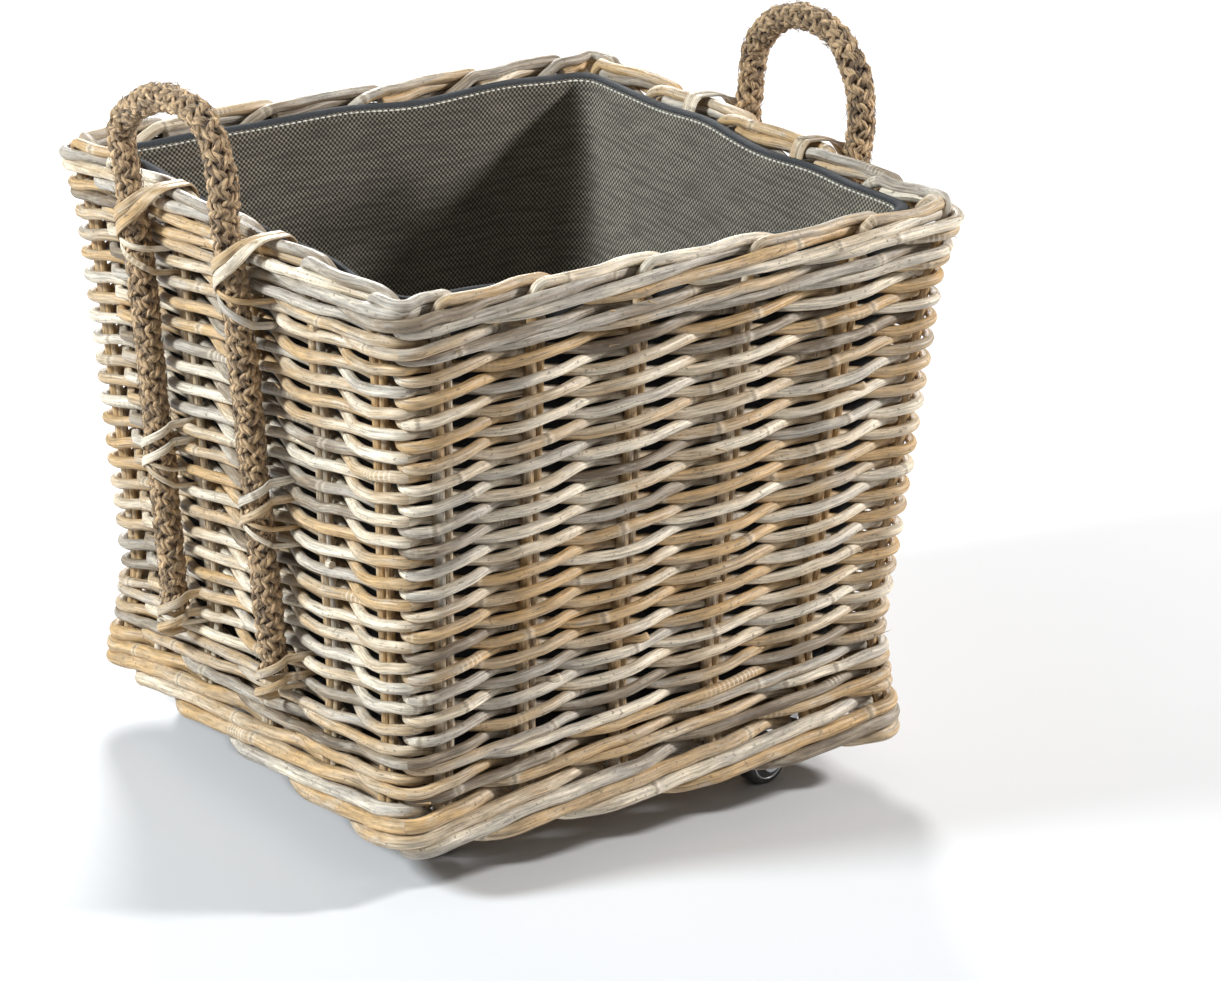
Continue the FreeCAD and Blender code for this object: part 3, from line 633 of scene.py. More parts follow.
def hem_and_outer_shade_twill():
    """Close dark twill for the hem, also laid over the liner's outer side as painted shade behind the
    weave: thin slanting ribs with a little dust.
    """
    c = colours()
    made = Finish("hem_and_outer_shade_twill")
    rate = 2.0 * math.pi / (0.6 * soft().thread)
    uv = made.parts(made.along(rate, rate, 0.0))
    ribs = made.sine(made.add(uv[0], uv[1]))
    dust = made.noise(made.along(60.0, 60.0, 0.0), 3.0)
    tint = made.mixed(made.spread(ribs, -0.6, 0.8), c.hem, tuple(2.1 * v for v in c.hem))
    tint = made.shaded(tint, dust, (0.3, 0.75), (0.7, 1.35))
    made.shade(Base_Color=tint, Roughness=0.88, Sheen_Weight=0.1)
    made.bump(ribs, 0.0003, 0.6)
    return made.material


def thread():
    """Pale twisted sewing thread."""
    c = colours()
    made = Finish("thread")
    twist = made.noise(made.along(900.0, 6.0, 0.0), 1.0)
    tint = made.ramp(twist, (0.3, c.sewing_dark), (0.7, c.sewing_light))
    made.shade(Base_Color=tint, Roughness=0.8)
    made.bump(twist, 0.0002, 0.5)
    return made.material


def plated_steel():
    """Zinc-plated pressed steel with a faint crystal pattern and scuffs."""
    c = colours()
    made = Finish("plated_steel")
    place = made.place()
    crystal = made.node("TexVoronoi", {"Vector": place, "Scale": 160.0}).outputs["Color"]
    scuffs = made.noise(place, 5.0, 90.0)
    level = made.add(made.times(made.parts(crystal)[0], 0.3), scuffs)
    tint = made.ramp(level, (0.3, c.steel_dark), (0.9, c.steel_light))
    made.shade(Base_Color=tint, Metallic=1.0, Roughness=made.spread(scuffs, 0.3, 0.7, 0.28, 0.52))
    made.bump(scuffs, 0.0002, 0.3)
    return made.material


def castor_plastic():
    """Dark moulded plastic, dusty and scuffed on the tread."""
    c = colours()
    made = Finish("castor_plastic")
    place = made.place()
    dust = made.noise(place, 4.0, 70.0)
    grain = made.noise(place, 2.0, 1500.0)
    tint = made.ramp(dust, (0.35, c.plastic_dark), (0.75, c.plastic_light))
    made.shade(Base_Color=tint, Roughness=made.spread(dust, 0.3, 0.7, 0.35, 0.6))
    made.bump(grain, 0.0001, 0.4)
    return made.material


def plywood():
    """Plain plywood with long grain along X."""
    c = colours()
    made = Finish("plywood")
    stretched = made.node("Mapping", {"Vector": made.place(), "Scale": (4.0, 60.0, 60.0)}).outputs[0]
    grain = made.noise(stretched, 6.0, 1.0, 0.6)
    tint = made.ramp(grain, (0.3, c.wood_dark), (0.7, c.wood_light))
    made.shade(Base_Color=tint, Roughness=made.spread(grain, 0.3, 0.7, 0.75, 0.55))
    made.bump(grain, 0.0003, 0.4)
    return made.material


def finish(maker, *settings):
    """A finish made once and found again by its name, which is its maker's or the first setting."""
    name = settings[0] if settings else maker.__name__
    return bpy.data.materials.get(name) or maker(*settings)


def woven(bundle, name, kind=None, cut=False):
    """Makes a bundle into a piece of rattan that stands for one kind of node on all four walls."""
    finishes = [finish(rattan, "woven_rattan")]
    if cut:
        finishes.append(finish(cut_rattan))
    nodes = [wall + "_" + kind for wall in WALLS] if kind else []
    return settle(bundle.piece(name, *finishes), "rattan", *nodes)


def grain(rng):
    """Where along its length a rod's grain starts."""
    return rng.uniform(0.0, GRAIN_LENGTH)


def courses():
    """Height of the lowest course of siding and the rise from one course to the next."""
    s = shape()
    margin = s.strand_rise + s.strand_radius
    pitch = (SIDING_HIGH - SIDING_LOW - 2.0 * margin) / (s.courses - 1)
    return SIDING_LOW + s.strand_rise + s.strand_radius, pitch


def rod_tones(places, outs, rng, rods):
    """A tone for each of the rods that follow one another round a ring. One rod takes over from the
    last only where the ring is behind a stake group."""
    hidden = places[outs < 0.8 * outs.min()]
    joints = rng.uniform(places.min(), places.max(), rods)
    joints = np.sort(hidden[np.argmin(np.abs(hidden[:, None] - joints), axis=0)])
    tones = rng.beta(1.1, 1.1, rods + 1)
    tones[-1] = tones[0]
    return tones[np.searchsorted(joints, places)]


def ring_places(z):
    """Places of the rings of points of a rod that goes once round the basket at a height, closer
    together at the corners."""
    count = int(ROUND * half_run(z) / shape().step)
    even = -1.0 + ROUND * np.arange(count) / count
    return even + CORNER_CROWD / math.pi * np.sin(math.pi * even)


def at_knots(places, *sets):
    """Smooth values at places from sets of knots and values, put in order together."""
    knots = np.concatenate([knots for knots, values in sets])
    values = np.concatenate([values for knots, values in sets])
    order = np.argsort(knots)
    return eased(knots[order], values[order], places)


def paired_strand(start, z, rng):
    """One of two rods twisted together: before one stake group, up, behind the next, down. It is
    flat past each group and eased between, and heights differ a little from group to group."""
    s = shape()
    out = s.stake_radius + s.strand_radius + s.clear
    groups = group_places()
    number = np.arange(len(groups))
    signs = np.where((number + start) % 2 == 0, 1.0, -1.0)
    lift = rng.normal(0.0, COURSE_UNEVEN, GROUP_COUNT)[number % GROUP_COUNT]
    between = rng.normal(0.0, 0.6 * COURSE_UNEVEN, GROUP_COUNT)[number % GROUP_COUNT]
    middles = 0.5 * (groups[:-1] + groups[1:])
    flat = FLAT_SHARE * s.reach / half_run(z)
    places = ring_places(z)
    outs = at_knots(places, (groups - flat, signs * out), (groups + flat, signs * out))
    crossings = z + signs[:-1] * s.strand_rise + between[:-1]
    heights = at_knots(places, (groups, z + lift), (middles, crossings))
    return places, outs, heights


def add_ring(bundle, strand, radius, rng, rods, sides):
    """Adds a rod that closes on itself round the basket, a little uneven in line and thickness."""
    places, outs, heights = strand
    outs = outs + wobble(places, rng, LINE_UNEVEN, 14, 60)
    heights = heights + wobble(places, rng, LINE_UNEVEN, 14, 60)
    path, facing = wall_points(places, outs, heights)
    lumps = 1.0 + wobble(places, rng, 0.05, 5, 40)
    thick = radius * shape().swell * lumps * rng.uniform(0.95, 1.06)
    tones = rod_tones(places, outs, rng, rods)
    bundle.tube(path, facing, thick, tones, sides, closed=True, shift=grain(rng))


class BASKET_OT_siding(bpy.types.Operator):
    """Weave the courses of paired rods up the four walls"""

    bl_idname = "basket.siding"
    bl_label = "Siding"

    def execute(self, context):
        s = shape()
        rng = np.random.default_rng(s.seed)
        low, pitch = courses()
        third = s.courses // 3
        for part, name in enumerate(("siding_low", "siding_middle", "siding_high")):
            bundle = Bundle()
            for course in range(part * third, (part + 1) * third):
                for start in (0, 1):
                    strand = paired_strand(start, low + course * pitch, rng)
                    add_ring(bundle, strand, s.strand_radius, rng, rods=6, sides=10)
            woven(bundle, name, "siding")
        return {"FINISHED"}


def climbing_rods(bundle, z, fronts, step, radius, dips, rng):
    """Adds the rods of a row that climb past a number of stake groups before going behind one. Rods
    that run into one another round the basket are one closed tube; between groups each rod dips
    as it comes out from behind and rises as it goes in."""
    s = shape()
    period = fronts + 1
    rounds = period // math.gcd(GROUP_COUNT, period)
    total = rounds * GROUP_COUNT
    groups = group_places(rounds)
    number = np.arange(len(groups))
    out = s.stake_radius + radius + s.clear
    middles = 0.5 * (groups[:-1] + groups[1:])
    flat = FLAT_SHARE * s.reach / half_run(z)
    once = ring_places(z)
    places = np.concatenate([once + ROUND * turn for turn in range(rounds)])
    for turn in range(period // rounds):
        stage = (number + turn) % period
        behind = stage == fronts
        uneven = rng.normal(0.0, ROW_UNEVEN, total)[number % total]
        level = np.where(behind, -out, out)
        heights = z + np.where(behind, 0.5 * (fronts - 1) * step, stage * step) + uneven
        across = 0.5 * (heights[:-1] + heights[1:])
        across = np.where(stage[:-1] == fronts - 1, z + (fronts - 1) * step + dips[0], across)
        across = np.where(behind[:-1], z - dips[1], across)
        outs = at_knots(places, (groups - flat, level), (groups + flat, level))
        risen = at_knots(places, (groups, heights), (middles, across))
        add_ring(bundle, (places, outs, risen), radius, rng, rods=5 * rounds, sides=12)


class BASKET_OT_foot(bpy.types.Operator):
    """Weave the four thick rods of the foot border round a hoop inside the stakes"""

    bl_idname = "basket.foot"
    bl_label = "Foot border"

    # How far the hoop lies below the wale, behind a stake group and between two.
    HOOP_OVER = 0.0005
    HOOP_SUNK = 0.0085

    def execute(self, context):
        s = shape()
        rng = np.random.default_rng(s.seed + 1)
        bundle = Bundle()
        z = FOOT_LOW + s.foot_dip + s.foot_radius
        climbing_rods(bundle, z, 3, s.foot_step, s.foot_radius, (s.wale_dip, s.foot_dip), rng)
        self.hoop(bundle, rng)
        woven(bundle, "foot_border", "foot_border")
        return {"FINISHED"}

    def hoop(self, bundle, rng):
        """A plain rod inside the stakes: over the foot rod behind each stake group, lower between."""
        s = shape()
        groups = group_places()
        gaps = np.diff(groups)
        over = np.full(len(groups), WALE_LOW - self.HOOP_OVER)
        sunk = np.full(len(gaps), WALE_LOW - self.HOOP_SUNK)
        before, after = groups[:-1] + 0.25 * gaps, groups[:-1] + 0.75 * gaps
        places = ring_places(WALE_LOW)
        inside = np.full_like(places, -(s.stake_radius + s.foot_radius + s.clear))
        heights = at_knots(places, (groups, over), (before, sunk), (after, sunk))
        add_ring(bundle, (places, inside, heights), s.foot_radius, rng, rods=4, sides=10)


class BASKET_OT_wales(bpy.types.Operator):
    """Weave the rows of three-rod wale under the siding and above it"""

    bl_idname = "basket.wales"
    bl_label = "Wales"

    def execute(self, context):
        s = shape()
        rng = np.random.default_rng(s.seed + 2)
        start = s.wale_radius + s.wale_dip
        row = 0.5 * (WALE_HIGH - WALE_LOW)
        dips = (s.wale_dip, s.wale_dip)
        rows = {"lower_wale": (WALE_LOW, WALE_LOW + row), "upper_wale": (UPPER_LOW,)}
        for name, lows in rows.items():
            bundle = Bundle()
            for low in lows:
                climbing_rods(bundle, low + start, 2, s.wale_step, s.wale_radius, dips, rng)
            woven(bundle, name, name)
        return {"FINISHED"}


def border_knots(groups, index):
    """A rim rod's places, distances out and heights: up from its stake, over in a tight elbow,
    along the top, behind the next group, down and out, before two groups and in behind the last."""
    s = shape()
    out = s.stake_radius + s.border_radius + s.clear
    back = -(2.0 * s.border_radius + 3.0 * s.clear)
    top = RIM_TOP - s.border_radius
    low = RIM_LOW + s.border_radius + s.wale_dip + 0.0004
    mid = low + s.wale_step + 0.0010
    unit = 1.0 / half_run(top)
    reach = s.reach * unit
    first, second, third, fourth, last = groups[index:index + 5]
    start = first - 0.0032 * unit
    return (
        (start, 0.0, low),
        (start, 0.0002, low + 0.5 * (top - low)),
        (start + 0.0006 * unit, 0.0006, top - 0.0080),
        (start + 0.0034 * unit, 0.0010, top - 0.0030),
        (start + 0.0092 * unit, 0.0012, top - 0.0002),
        (0.5 * (first + second), 0.0, top - 0.0004),
        (second - reach, back, top),
        (second + reach, back, top - 0.0006),
        (0.6 * second + 0.2 * (second + third), back, top - 0.0048),
        (0.5 * (second + third), 0.0, low - s.wale_dip),
        (third - 0.7 * reach, out, low),
        (third + 0.7 * reach, out, low + 0.0008),
        (fourth - 0.7 * reach, out, mid - 0.0006),
        (fourth + 0.7 * reach, out, mid + 0.0006),
        (0.5 * (fourth + last), 0.15 * out, mid + s.wale_dip),
        (last - 0.7 * reach, back, mid + 0.0006),
        (last + 0.6 * reach, back, mid),
    )


class BASKET_OT_rim(bpy.types.Operator):
    """Roll the rim border from one rod at every stake group"""

    bl_idname = "basket.rim"
    bl_label = "Rim border"

    # A rod is pinched in its elbow: by this share, over about this length.
    PINCH = 0.12
    PINCH_LENGTH = 0.006

    def execute(self, context):
        s = shape()
        rng = np.random.default_rng(s.seed + 3)
        groups = group_places()
        bundle = Bundle()
        for index in range(GROUP_COUNT, 2 * GROUP_COUNT):
            knots = np.array(border_knots(groups, index))
            knots[4:, 2] += rng.normal(0.0, ROW_UNEVEN, len(knots) - 4)
            far = distances(knots * (half_run(RIM_TOP), 1.0, 1.0))
            at = np.linspace(0.0, far[-1], int(far[-1] / (0.5 * s.step)))
            place, out, z = eased(far, knots, at).T
            path, facing = wall_points(place, out, np.minimum(z, RIM_TOP - s.border_radius))
            pinch = 1.0 - self.PINCH * np.exp(-((at - far[3]) / self.PINCH_LENGTH) ** 2)
            thick = s.border_radius * s.rim_swell * pinch * rng.uniform(0.94, 1.06)
            thick = thick * (1.0 + wobble(place, rng, 0.04, 9, 50))
            bundle.tube(path, facing, thick, rng.beta(1.2, 1.2), 12, shift=grain(rng))
        woven(bundle, "rim_border", "rim_border", cut=True)
        return {"FINISHED"}


class BASKET_OT_stakes(bpy.types.Operator):
    """Set a thick stake and a thin one at every stake group"""

    bl_idname = "basket.stakes"
    bl_label = "Stakes"

    def execute(self, context):
        s = shape()
        rng = np.random.default_rng(s.seed + 4)
        bundle = Bundle()
        low, high = (corner.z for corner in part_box("front_stakes"))
        spread = s.stake_radius + s.side_stake_radius + s.clear
        kinds = ((s.stake_radius, high, 0.0), (s.side_stake_radius, UPPER_HIGH - s.wale_dip, spread))
        for place in group_places()[GROUP_COUNT:2 * GROUP_COUNT]:
            for radius, top, shift in kinds:
                z = np.linspace(low, top, 70)
                aside = shift - s.side_stake_radius + rng.normal(0.0, LINE_UNEVEN)
                out = ripple(z, rng, LINE_UNEVEN, 30.0, 60.0)
                path, facing = wall_points(place + aside / half_run(z), out, z)
                thick = radius * rng.uniform(0.95, 1.0)
                thick = thick * (1.0 + 0.03 * np.sin(z * 70.0 + rng.uniform(0.0, 6.0)))
                bundle.tube(path, facing, thick, rng.uniform(0.45, 1.0), 10, shift=grain(rng))
        woven(bundle, "stakes", "stakes", cut=True)
        return {"FINISHED"}


def flank_points(run, out, z, side):
    """Points before the left wall (side -1) or, turned half round, before the right one (side 1)."""
    z = np.asarray(z, float)
    x = side * (half_width(z) + out)
    y = side * np.asarray(run, float)
    return np.stack(np.broadcast_arrays(x, y, z), -1)


def leg_runs(z, side):
    """Runs of a rope's rear and fore legs along its wall at a height, changing evenly down the leg."""
    down = np.maximum((RIM_TOP - np.asarray(z, float)) / (RIM_TOP - LEG_LOW), 0.0)
    return [at_rim + (at_end - at_rim) * down for at_rim, at_end in LEG_RUNS[side]]


def rope_route(side):
    """Control points of a rope's line: up the rear leg on the wall's slope, over the round loop, which
    leans outward, and down the fore leg."""
    r = soft()
    hinge = HINGE["left_loop"][2]
    top = LOOP_TOP - r.rope_radius
    legs = np.array([LEG_LOW + 0.004, SIDING_HIGH, RIM_TOP, hinge])
    rear, fore = leg_runs(legs, side)
    loop = np.array(LOOP_POINTS[side])
    run = np.concatenate([rear, loop[:, 0], fore[::-1]])
    z = np.concatenate([legs, hinge + (top - hinge) * loop[:, 1], legs[::-1]])
    lean = r.loop_lean * np.maximum((z - RIM_TOP) / (top - RIM_TOP), 0.0)
    return flank_points(run, r.rope_out + lean, z, side)


def rope_line(side):
    """Distances along a rope and its middle line there, at even steps on the smooth spline of its
    route."""
    points = rope_route(side)
    curve = bpy.data.curves.new("rope_route", "CURVE")
    curve.dimensions = "3D"
    curve.resolution_u = 32
    spline = curve.splines.new("NURBS")
    spline.points.add(len(points) - 1)
    spline.points.foreach_set("co", np.column_stack([points, np.ones(len(points))]).ravel())
    spline.order_u = 3
    spline.use_endpoint_u = True
    route = bpy.data.objects.new("rope_route", curve)
    mesh = bpy.data.meshes.new_from_object(route)
    line = np.empty(3 * len(mesh.vertices))
    mesh.vertices.foreach_get("co", line)
    bpy.data.meshes.remove(mesh)
    bpy.data.objects.remove(route)
    bpy.data.curves.remove(curve)
    line = line.reshape(-1, 3)
    far = distances(line)
    at = np.linspace(0.0, far[-1], int(far[-1] / soft().rope_step))
    return at, on_line(at, far, line)


def rope_frame(line, side):
    """Directions along, out and across a rope's middle line."""
    tangent = unit(np.gradient(line, axis=0))
    out = unit(np.array([side, 0.0, 0.0]) - tangent * (side * tangent[:, :1]))
    return tangent, out, np.cross(tangent, out)


class BASKET_OT_ropes(bpy.types.Operator):
    """Braid the two rope handles from eight strands of four yarns each, with loose fibres"""

    bl_idname = "basket.ropes"
    bl_label = "Rope handles"

    # Distances of a strand's middle from the rope's, of its yarns aside and outward from its own
    # middle, and how far it rises and dives where it crosses others.
    STRAND_LIFT = 0.0080
    YARN_ASIDE = 0.0024
    YARN_LIFT = 0.0009
    CROSSING = 0.0012
    YARN_RADIUS = 0.00155
    CORE_RADIUS = 0.0074
    # The loose fibres: how many, where they leave the rope and how thick they are there.
    HAIRS = 1700
    HAIR_LIFT = 0.0106
    HAIR_RADIUS = 0.00036
    # The bend of a loop's ends, below and above the hinge.
    BEND_LOW = 0.02
    BEND_HIGH = 0.03

    def execute(self, context):
        for name, side, seed in (("left", -1.0, 11), ("right", 1.0, 12)):
            rng = np.random.default_rng(shape().seed + seed)
            self.braid(name, side, rng)
        return {"FINISHED"}

    def braid(self, name, side, rng):
        """Four strands wind one way and four the other at one pitch; each lies further out where it
        passes over a strand of the other set and nearer the middle where it passes under. A strand
        is four yarns twisted round one another."""
        r = soft()
        at, line = rope_line(side)
        tangent, out, across = rope_frame(line, side)
        bundle = Bundle()
        rate = 2.0 * math.pi / r.plait
        lumps = 1.0 + 0.06 * np.sin(at * 41.0 + rng.uniform(0.0, 6.0))
        lumps = lumps + 0.04 * np.sin(at * 97.0 + rng.uniform(0.0, 6.0))
        over = np.cos(4.0 * rate * at)
        for way in (1.0, -1.0):
            for strand in range(4):
                turn = way * rate * at + 0.5 * math.pi * strand + rng.normal(0.0, 0.08)
                turn = turn + ripple(at, rng, 0.12, 30.0, 70.0)
                turn = turn + ripple(at, rng, 0.06, 90.0, 160.0)
                lift = self.STRAND_LIFT * lumps + way * (self.CROSSING * over)
                lift = lift + ripple(at, rng, 0.0004, 120.0, 240.0)
                # Painted shade: a strand's tone is darker where it dives under the other set and lighter
                # where it passes over.
                depth = 0.5 + way * 0.36 * over + rng.normal(0.0, 0.06)
                twist = way * 2.0 * math.pi * at / r.yarn_turn + rng.uniform(0.0, 6.0)
                for yarn in range(4):
                    phase = twist + 0.5 * math.pi * yarn
                    aside = turn + self.YARN_ASIDE / self.STRAND_LIFT * np.cos(phase)
                    facing = np.cos(aside)[:, None] * out + np.sin(aside)[:, None] * across
                    path = line + (lift + self.YARN_LIFT * np.sin(phase))[:, None] * facing
                    # Painted light: a yarn's tone is lighter on its outward side.
                    tone = np.clip(depth + 0.12 * np.sin(phase) + rng.normal(0.0, 0.2), 0.0, 1.0)
                    thick = self.YARN_RADIUS * (1.0 + ripple(at, rng, 0.16, 80.0, 160.0))
                    bundle.tube(path, facing, thick, tone, 5, flat=1.2, shift=rng.uniform(0.0, 9.0))
        # A dark core fills the gaps between the strands as painted shade deep in the rope.
        bundle.tube(line, out, self.CORE_RADIUS, 0.12, 8)
        self.fray(bundle, line, tangent, out, across, rng)
        piece = bundle.piece(name + "_rope", finish(jute))
        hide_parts(name + "_rope_legs", name + "_rope_loop")
        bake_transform(piece)

    def fray(self, bundle, line, tangent, out, across, rng):
        """Loose fibres: thin tapered hairs that leave the rope's surface along it and curl away."""
        hairs = self.HAIRS
        index = rng.integers(4, len(line) - 4, hairs)
        turn = rng.uniform(0.0, 2.0 * math.pi, hairs)
        away = np.cos(turn)[:, None] * out[index] + np.sin(turn)[:, None] * across[index]
        aside = np.cross(tangent[index], away) * rng.normal(0.0, 0.6, hairs)[:, None]
        ahead = tangent[index] * rng.choice((-1.0, 1.0), hairs)[:, None]
        size = rng.uniform(0.003, 0.009, hairs)
        lifts = rng.uniform(0.05, 0.40, hairs)
        share = np.linspace(0.0, 1.0, 4)
        thick = self.HAIR_RADIUS * (1.0 - 0.7 * share)
        for i in range(hairs):
            bend = share[:, None] * (ahead[i] + aside[i]) + (share ** 2)[:, None] * lifts[i] * away[i]
            path = line[index[i]] + self.HAIR_LIFT * away[i] + size[i] * bend
            bundle.tube(path, away[i], thick, rng.uniform(0.4, 1.3), 3)


def cane_band(bundle, knots, facing, width, rng):
    """Adds a band of split cane along smooth knots, an oval section that narrows at its ends."""
    thickness = soft().cane_thickness
    far = distances(knots)
    at = np.linspace(0.0, far[-1], max(int(far[-1] / CANE_STEP), 8))
    path = eased(far, knots, at)
    turned = eased(far, facing, at)
    ends = np.minimum(at, far[-1] - at)
    half = 0.5 * thickness * (1.0 - 0.3 * np.clip(1.0 - ends / CANE_TAPER, 0.0, 1.0))
    half = half * rng.uniform(0.92, 1.08)
    tone = rng.uniform(0.15, 0.8)
    bundle.tube(path, turned, half, tone, 10, flat=width / thickness, shift=grain(rng))


def wrapped(run, turn, side, lift):
    """The part of a band that all lashings have: out of the wall on the rope leg's left and round the
    rope on a circle, at turns about its middle. Gives the runs, the distances out, the shares of
    the band's change of height, the facings and how far the tails stand from the rope's middle."""
    r = soft()
    radius = r.rope_radius + 0.5 * r.cane_thickness + 0.0004 + lift
    tail = r.rope_radius + r.cane_thickness + lift + 0.0010
    runs = np.append([run - tail - TAIL_SLANT, run - tail], run + radius * np.sin(turn))
    outs = np.append(TAIL_OUT, r.rope_out + radius * np.cos(turn))
    shares = np.append([-0.06, -0.03], np.linspace(0.0, 1.0, len(turn)))
    facing = np.stack([side * np.cos(turn), side * np.sin(turn), np.zeros_like(turn)], 1)
    inward = (0.2 * side, -side, 0.0)
    return runs, outs, shares, np.concatenate([[inward] * 2, facing]), tail


def leg_wrap(run, z_left, z_right, side, lift=0.0):
    """Knots and facings of a band across the front of a rope leg, from the wall on its left to the
    wall on its right, while the height changes evenly."""
    runs, outs, shares, facing, tail = wrapped(run, np.linspace(-WRAP_TURN, WRAP_TURN, 13), side, lift)
    runs = np.append(runs, [run + tail, run + tail + TAIL_SLANT])
    outs = np.append(outs, TAIL_OUT[::-1])
    shares = np.append(shares, [1.03, 1.06])
    points = flank_points(runs, outs, z_left + (z_right - z_left) * shares, side)
    beside = (0.2 * side, side, 0.0)
    return points, np.concatenate([facing, [beside] * 2])


def rim_wrap(run, z_left, z_right, side, lift=0.0, aside=0.0):
    """Knots and facings of a band across the front of a rope leg from the wall on its left, then up
    beside the leg, over the rim and down inside it."""
    r = soft()
    over = RIM_TOP + 0.5 * r.cane_thickness + 0.0008
    runs, outs, shares, facing, _ = wrapped(run, np.linspace(-WRAP_TURN, 1.1, 11), side, lift)
    beyond = run + r.rope_radius + 0.0075 + aside
    runs = np.append(runs, [beyond - 0.002, beyond, beyond + 0.001, beyond + 0.001, beyond + 0.001])
    outs = np.append(outs, [0.0165, 0.0045, -0.0085, -0.0148, -0.0150])
    heights = z_left + (z_right - z_left) * shares
    heights = np.append(heights, [over - 0.0040, over - 0.0004, over, over - 0.006, over - 0.024])
    points = flank_points(runs, outs, np.minimum(heights, over), side)
    last = (
        (0.7 * side, 0.2 * side, 0.7),
        (0.2 * side, 0.0, 1.0),
        (-0.3 * side, 0.0, 1.0),
        (-side, 0.0, 0.3),
        (-side, 0.0, 0.0),
    )
    return points, np.concatenate([facing, last])


class BASKET_OT_lashings(bpy.types.Operator):
    """Tie the rope legs to the walls with bands of split cane"""

    bl_idname = "basket.lashings"
    bl_label = "Cane lashings"

    # Bands round a leg: heights on its left and on its right, width and lift above the rope. Those
    # that go over the rim also have a distance aside.
    MIDDLE = (
        (-0.002, -0.032, 0.0044, 0.0),
        (-0.004, -0.019, 0.0036, 0.0),
        (-0.012, 0.017, 0.0070, 0.0010),
        (-0.027, 0.003, 0.0068, 0.0014),
    )
    LOWER = (
        (0.006, -0.006, 0.0040, 0.0),
        (-0.010, 0.016, 0.0074, 0.0010),
        (-0.022, 0.001, 0.0062, 0.0004),
    )
    RIM_ARMS = ((-0.038, -0.049, 0.0044, 0.0), (-0.037, -0.067, 0.0054, 0.0004))
    RIM_BANDS = ((-0.039, -0.0105, 0.0086, 0.0010, 0.0), (-0.053, -0.0195, 0.0084, 0.0016, 0.0082))

    def execute(self, context):
        rng = np.random.default_rng(shape().seed + 5)
        low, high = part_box("left_middle_lashings")
        middle = 0.5 * (low.z + high.z) + 0.004
        for name, side in (("left", -1.0), ("right", 1.0)):
            bundle = Bundle()
            for run in leg_runs(RIM_TOP - 0.03, side):
                for left, right, width, *rest in self.RIM_ARMS:
                    band = leg_wrap(run, RIM_TOP + left, RIM_TOP + right, side, *rest)
                    cane_band(bundle, *band, width, rng)
                for left, right, width, *rest in self.RIM_BANDS:
                    band = rim_wrap(run, RIM_TOP + left, RIM_TOP + right, side, *rest)
                    cane_band(bundle, *band, width, rng)
            self.tied(bundle, name + "_rim_lashings")
            for kind, bands, z in (("middle", self.MIDDLE, middle), ("lower", self.LOWER, LEG_LOW + 0.001)):
                bundle = Bundle()
                for run in leg_runs(z, side):
                    for left, right, width, lift in bands:
                        cane_band(bundle, *leg_wrap(run, z + left, z + right, side, lift), width, rng)
                self.tied(bundle, name + "_" + kind + "_lashings")
        return {"FINISHED"}

    def tied(self, bundle, node):
        """Makes a bundle of bands into a piece that stands for a node."""
        cane = finish(rattan, "split_cane", 0.34, 0.10)
        settle(bundle.piece(node + "_cane", cane, finish(cut_rattan)), "cane", node)


def square_round(half, radius, share):
    """Points round a square with rounded corners at even shares of its length, with the outward
    directions: four straight runs joined by quarter circles."""
    straight = half - radius
    quarter = 2.0 * straight + 0.5 * math.pi * radius
    far = share * 4.0 * quarter
    side = np.floor(far / quarter)
    rest = far - side * quarter
    along = np.minimum(rest, 2.0 * straight) - straight
    turn = np.maximum(rest - 2.0 * straight, 0.0) / radius
    x = along + radius * np.sin(turn)
    y = -straight - radius * np.cos(turn)
    angle = 0.5 * math.pi * side
    points = np.stack([x * np.cos(angle) - y * np.sin(angle), x * np.sin(angle) + y * np.cos(angle)], -1)
    facing = np.stack([np.sin(angle + turn), -np.cos(angle + turn)], -1)
    return points, facing


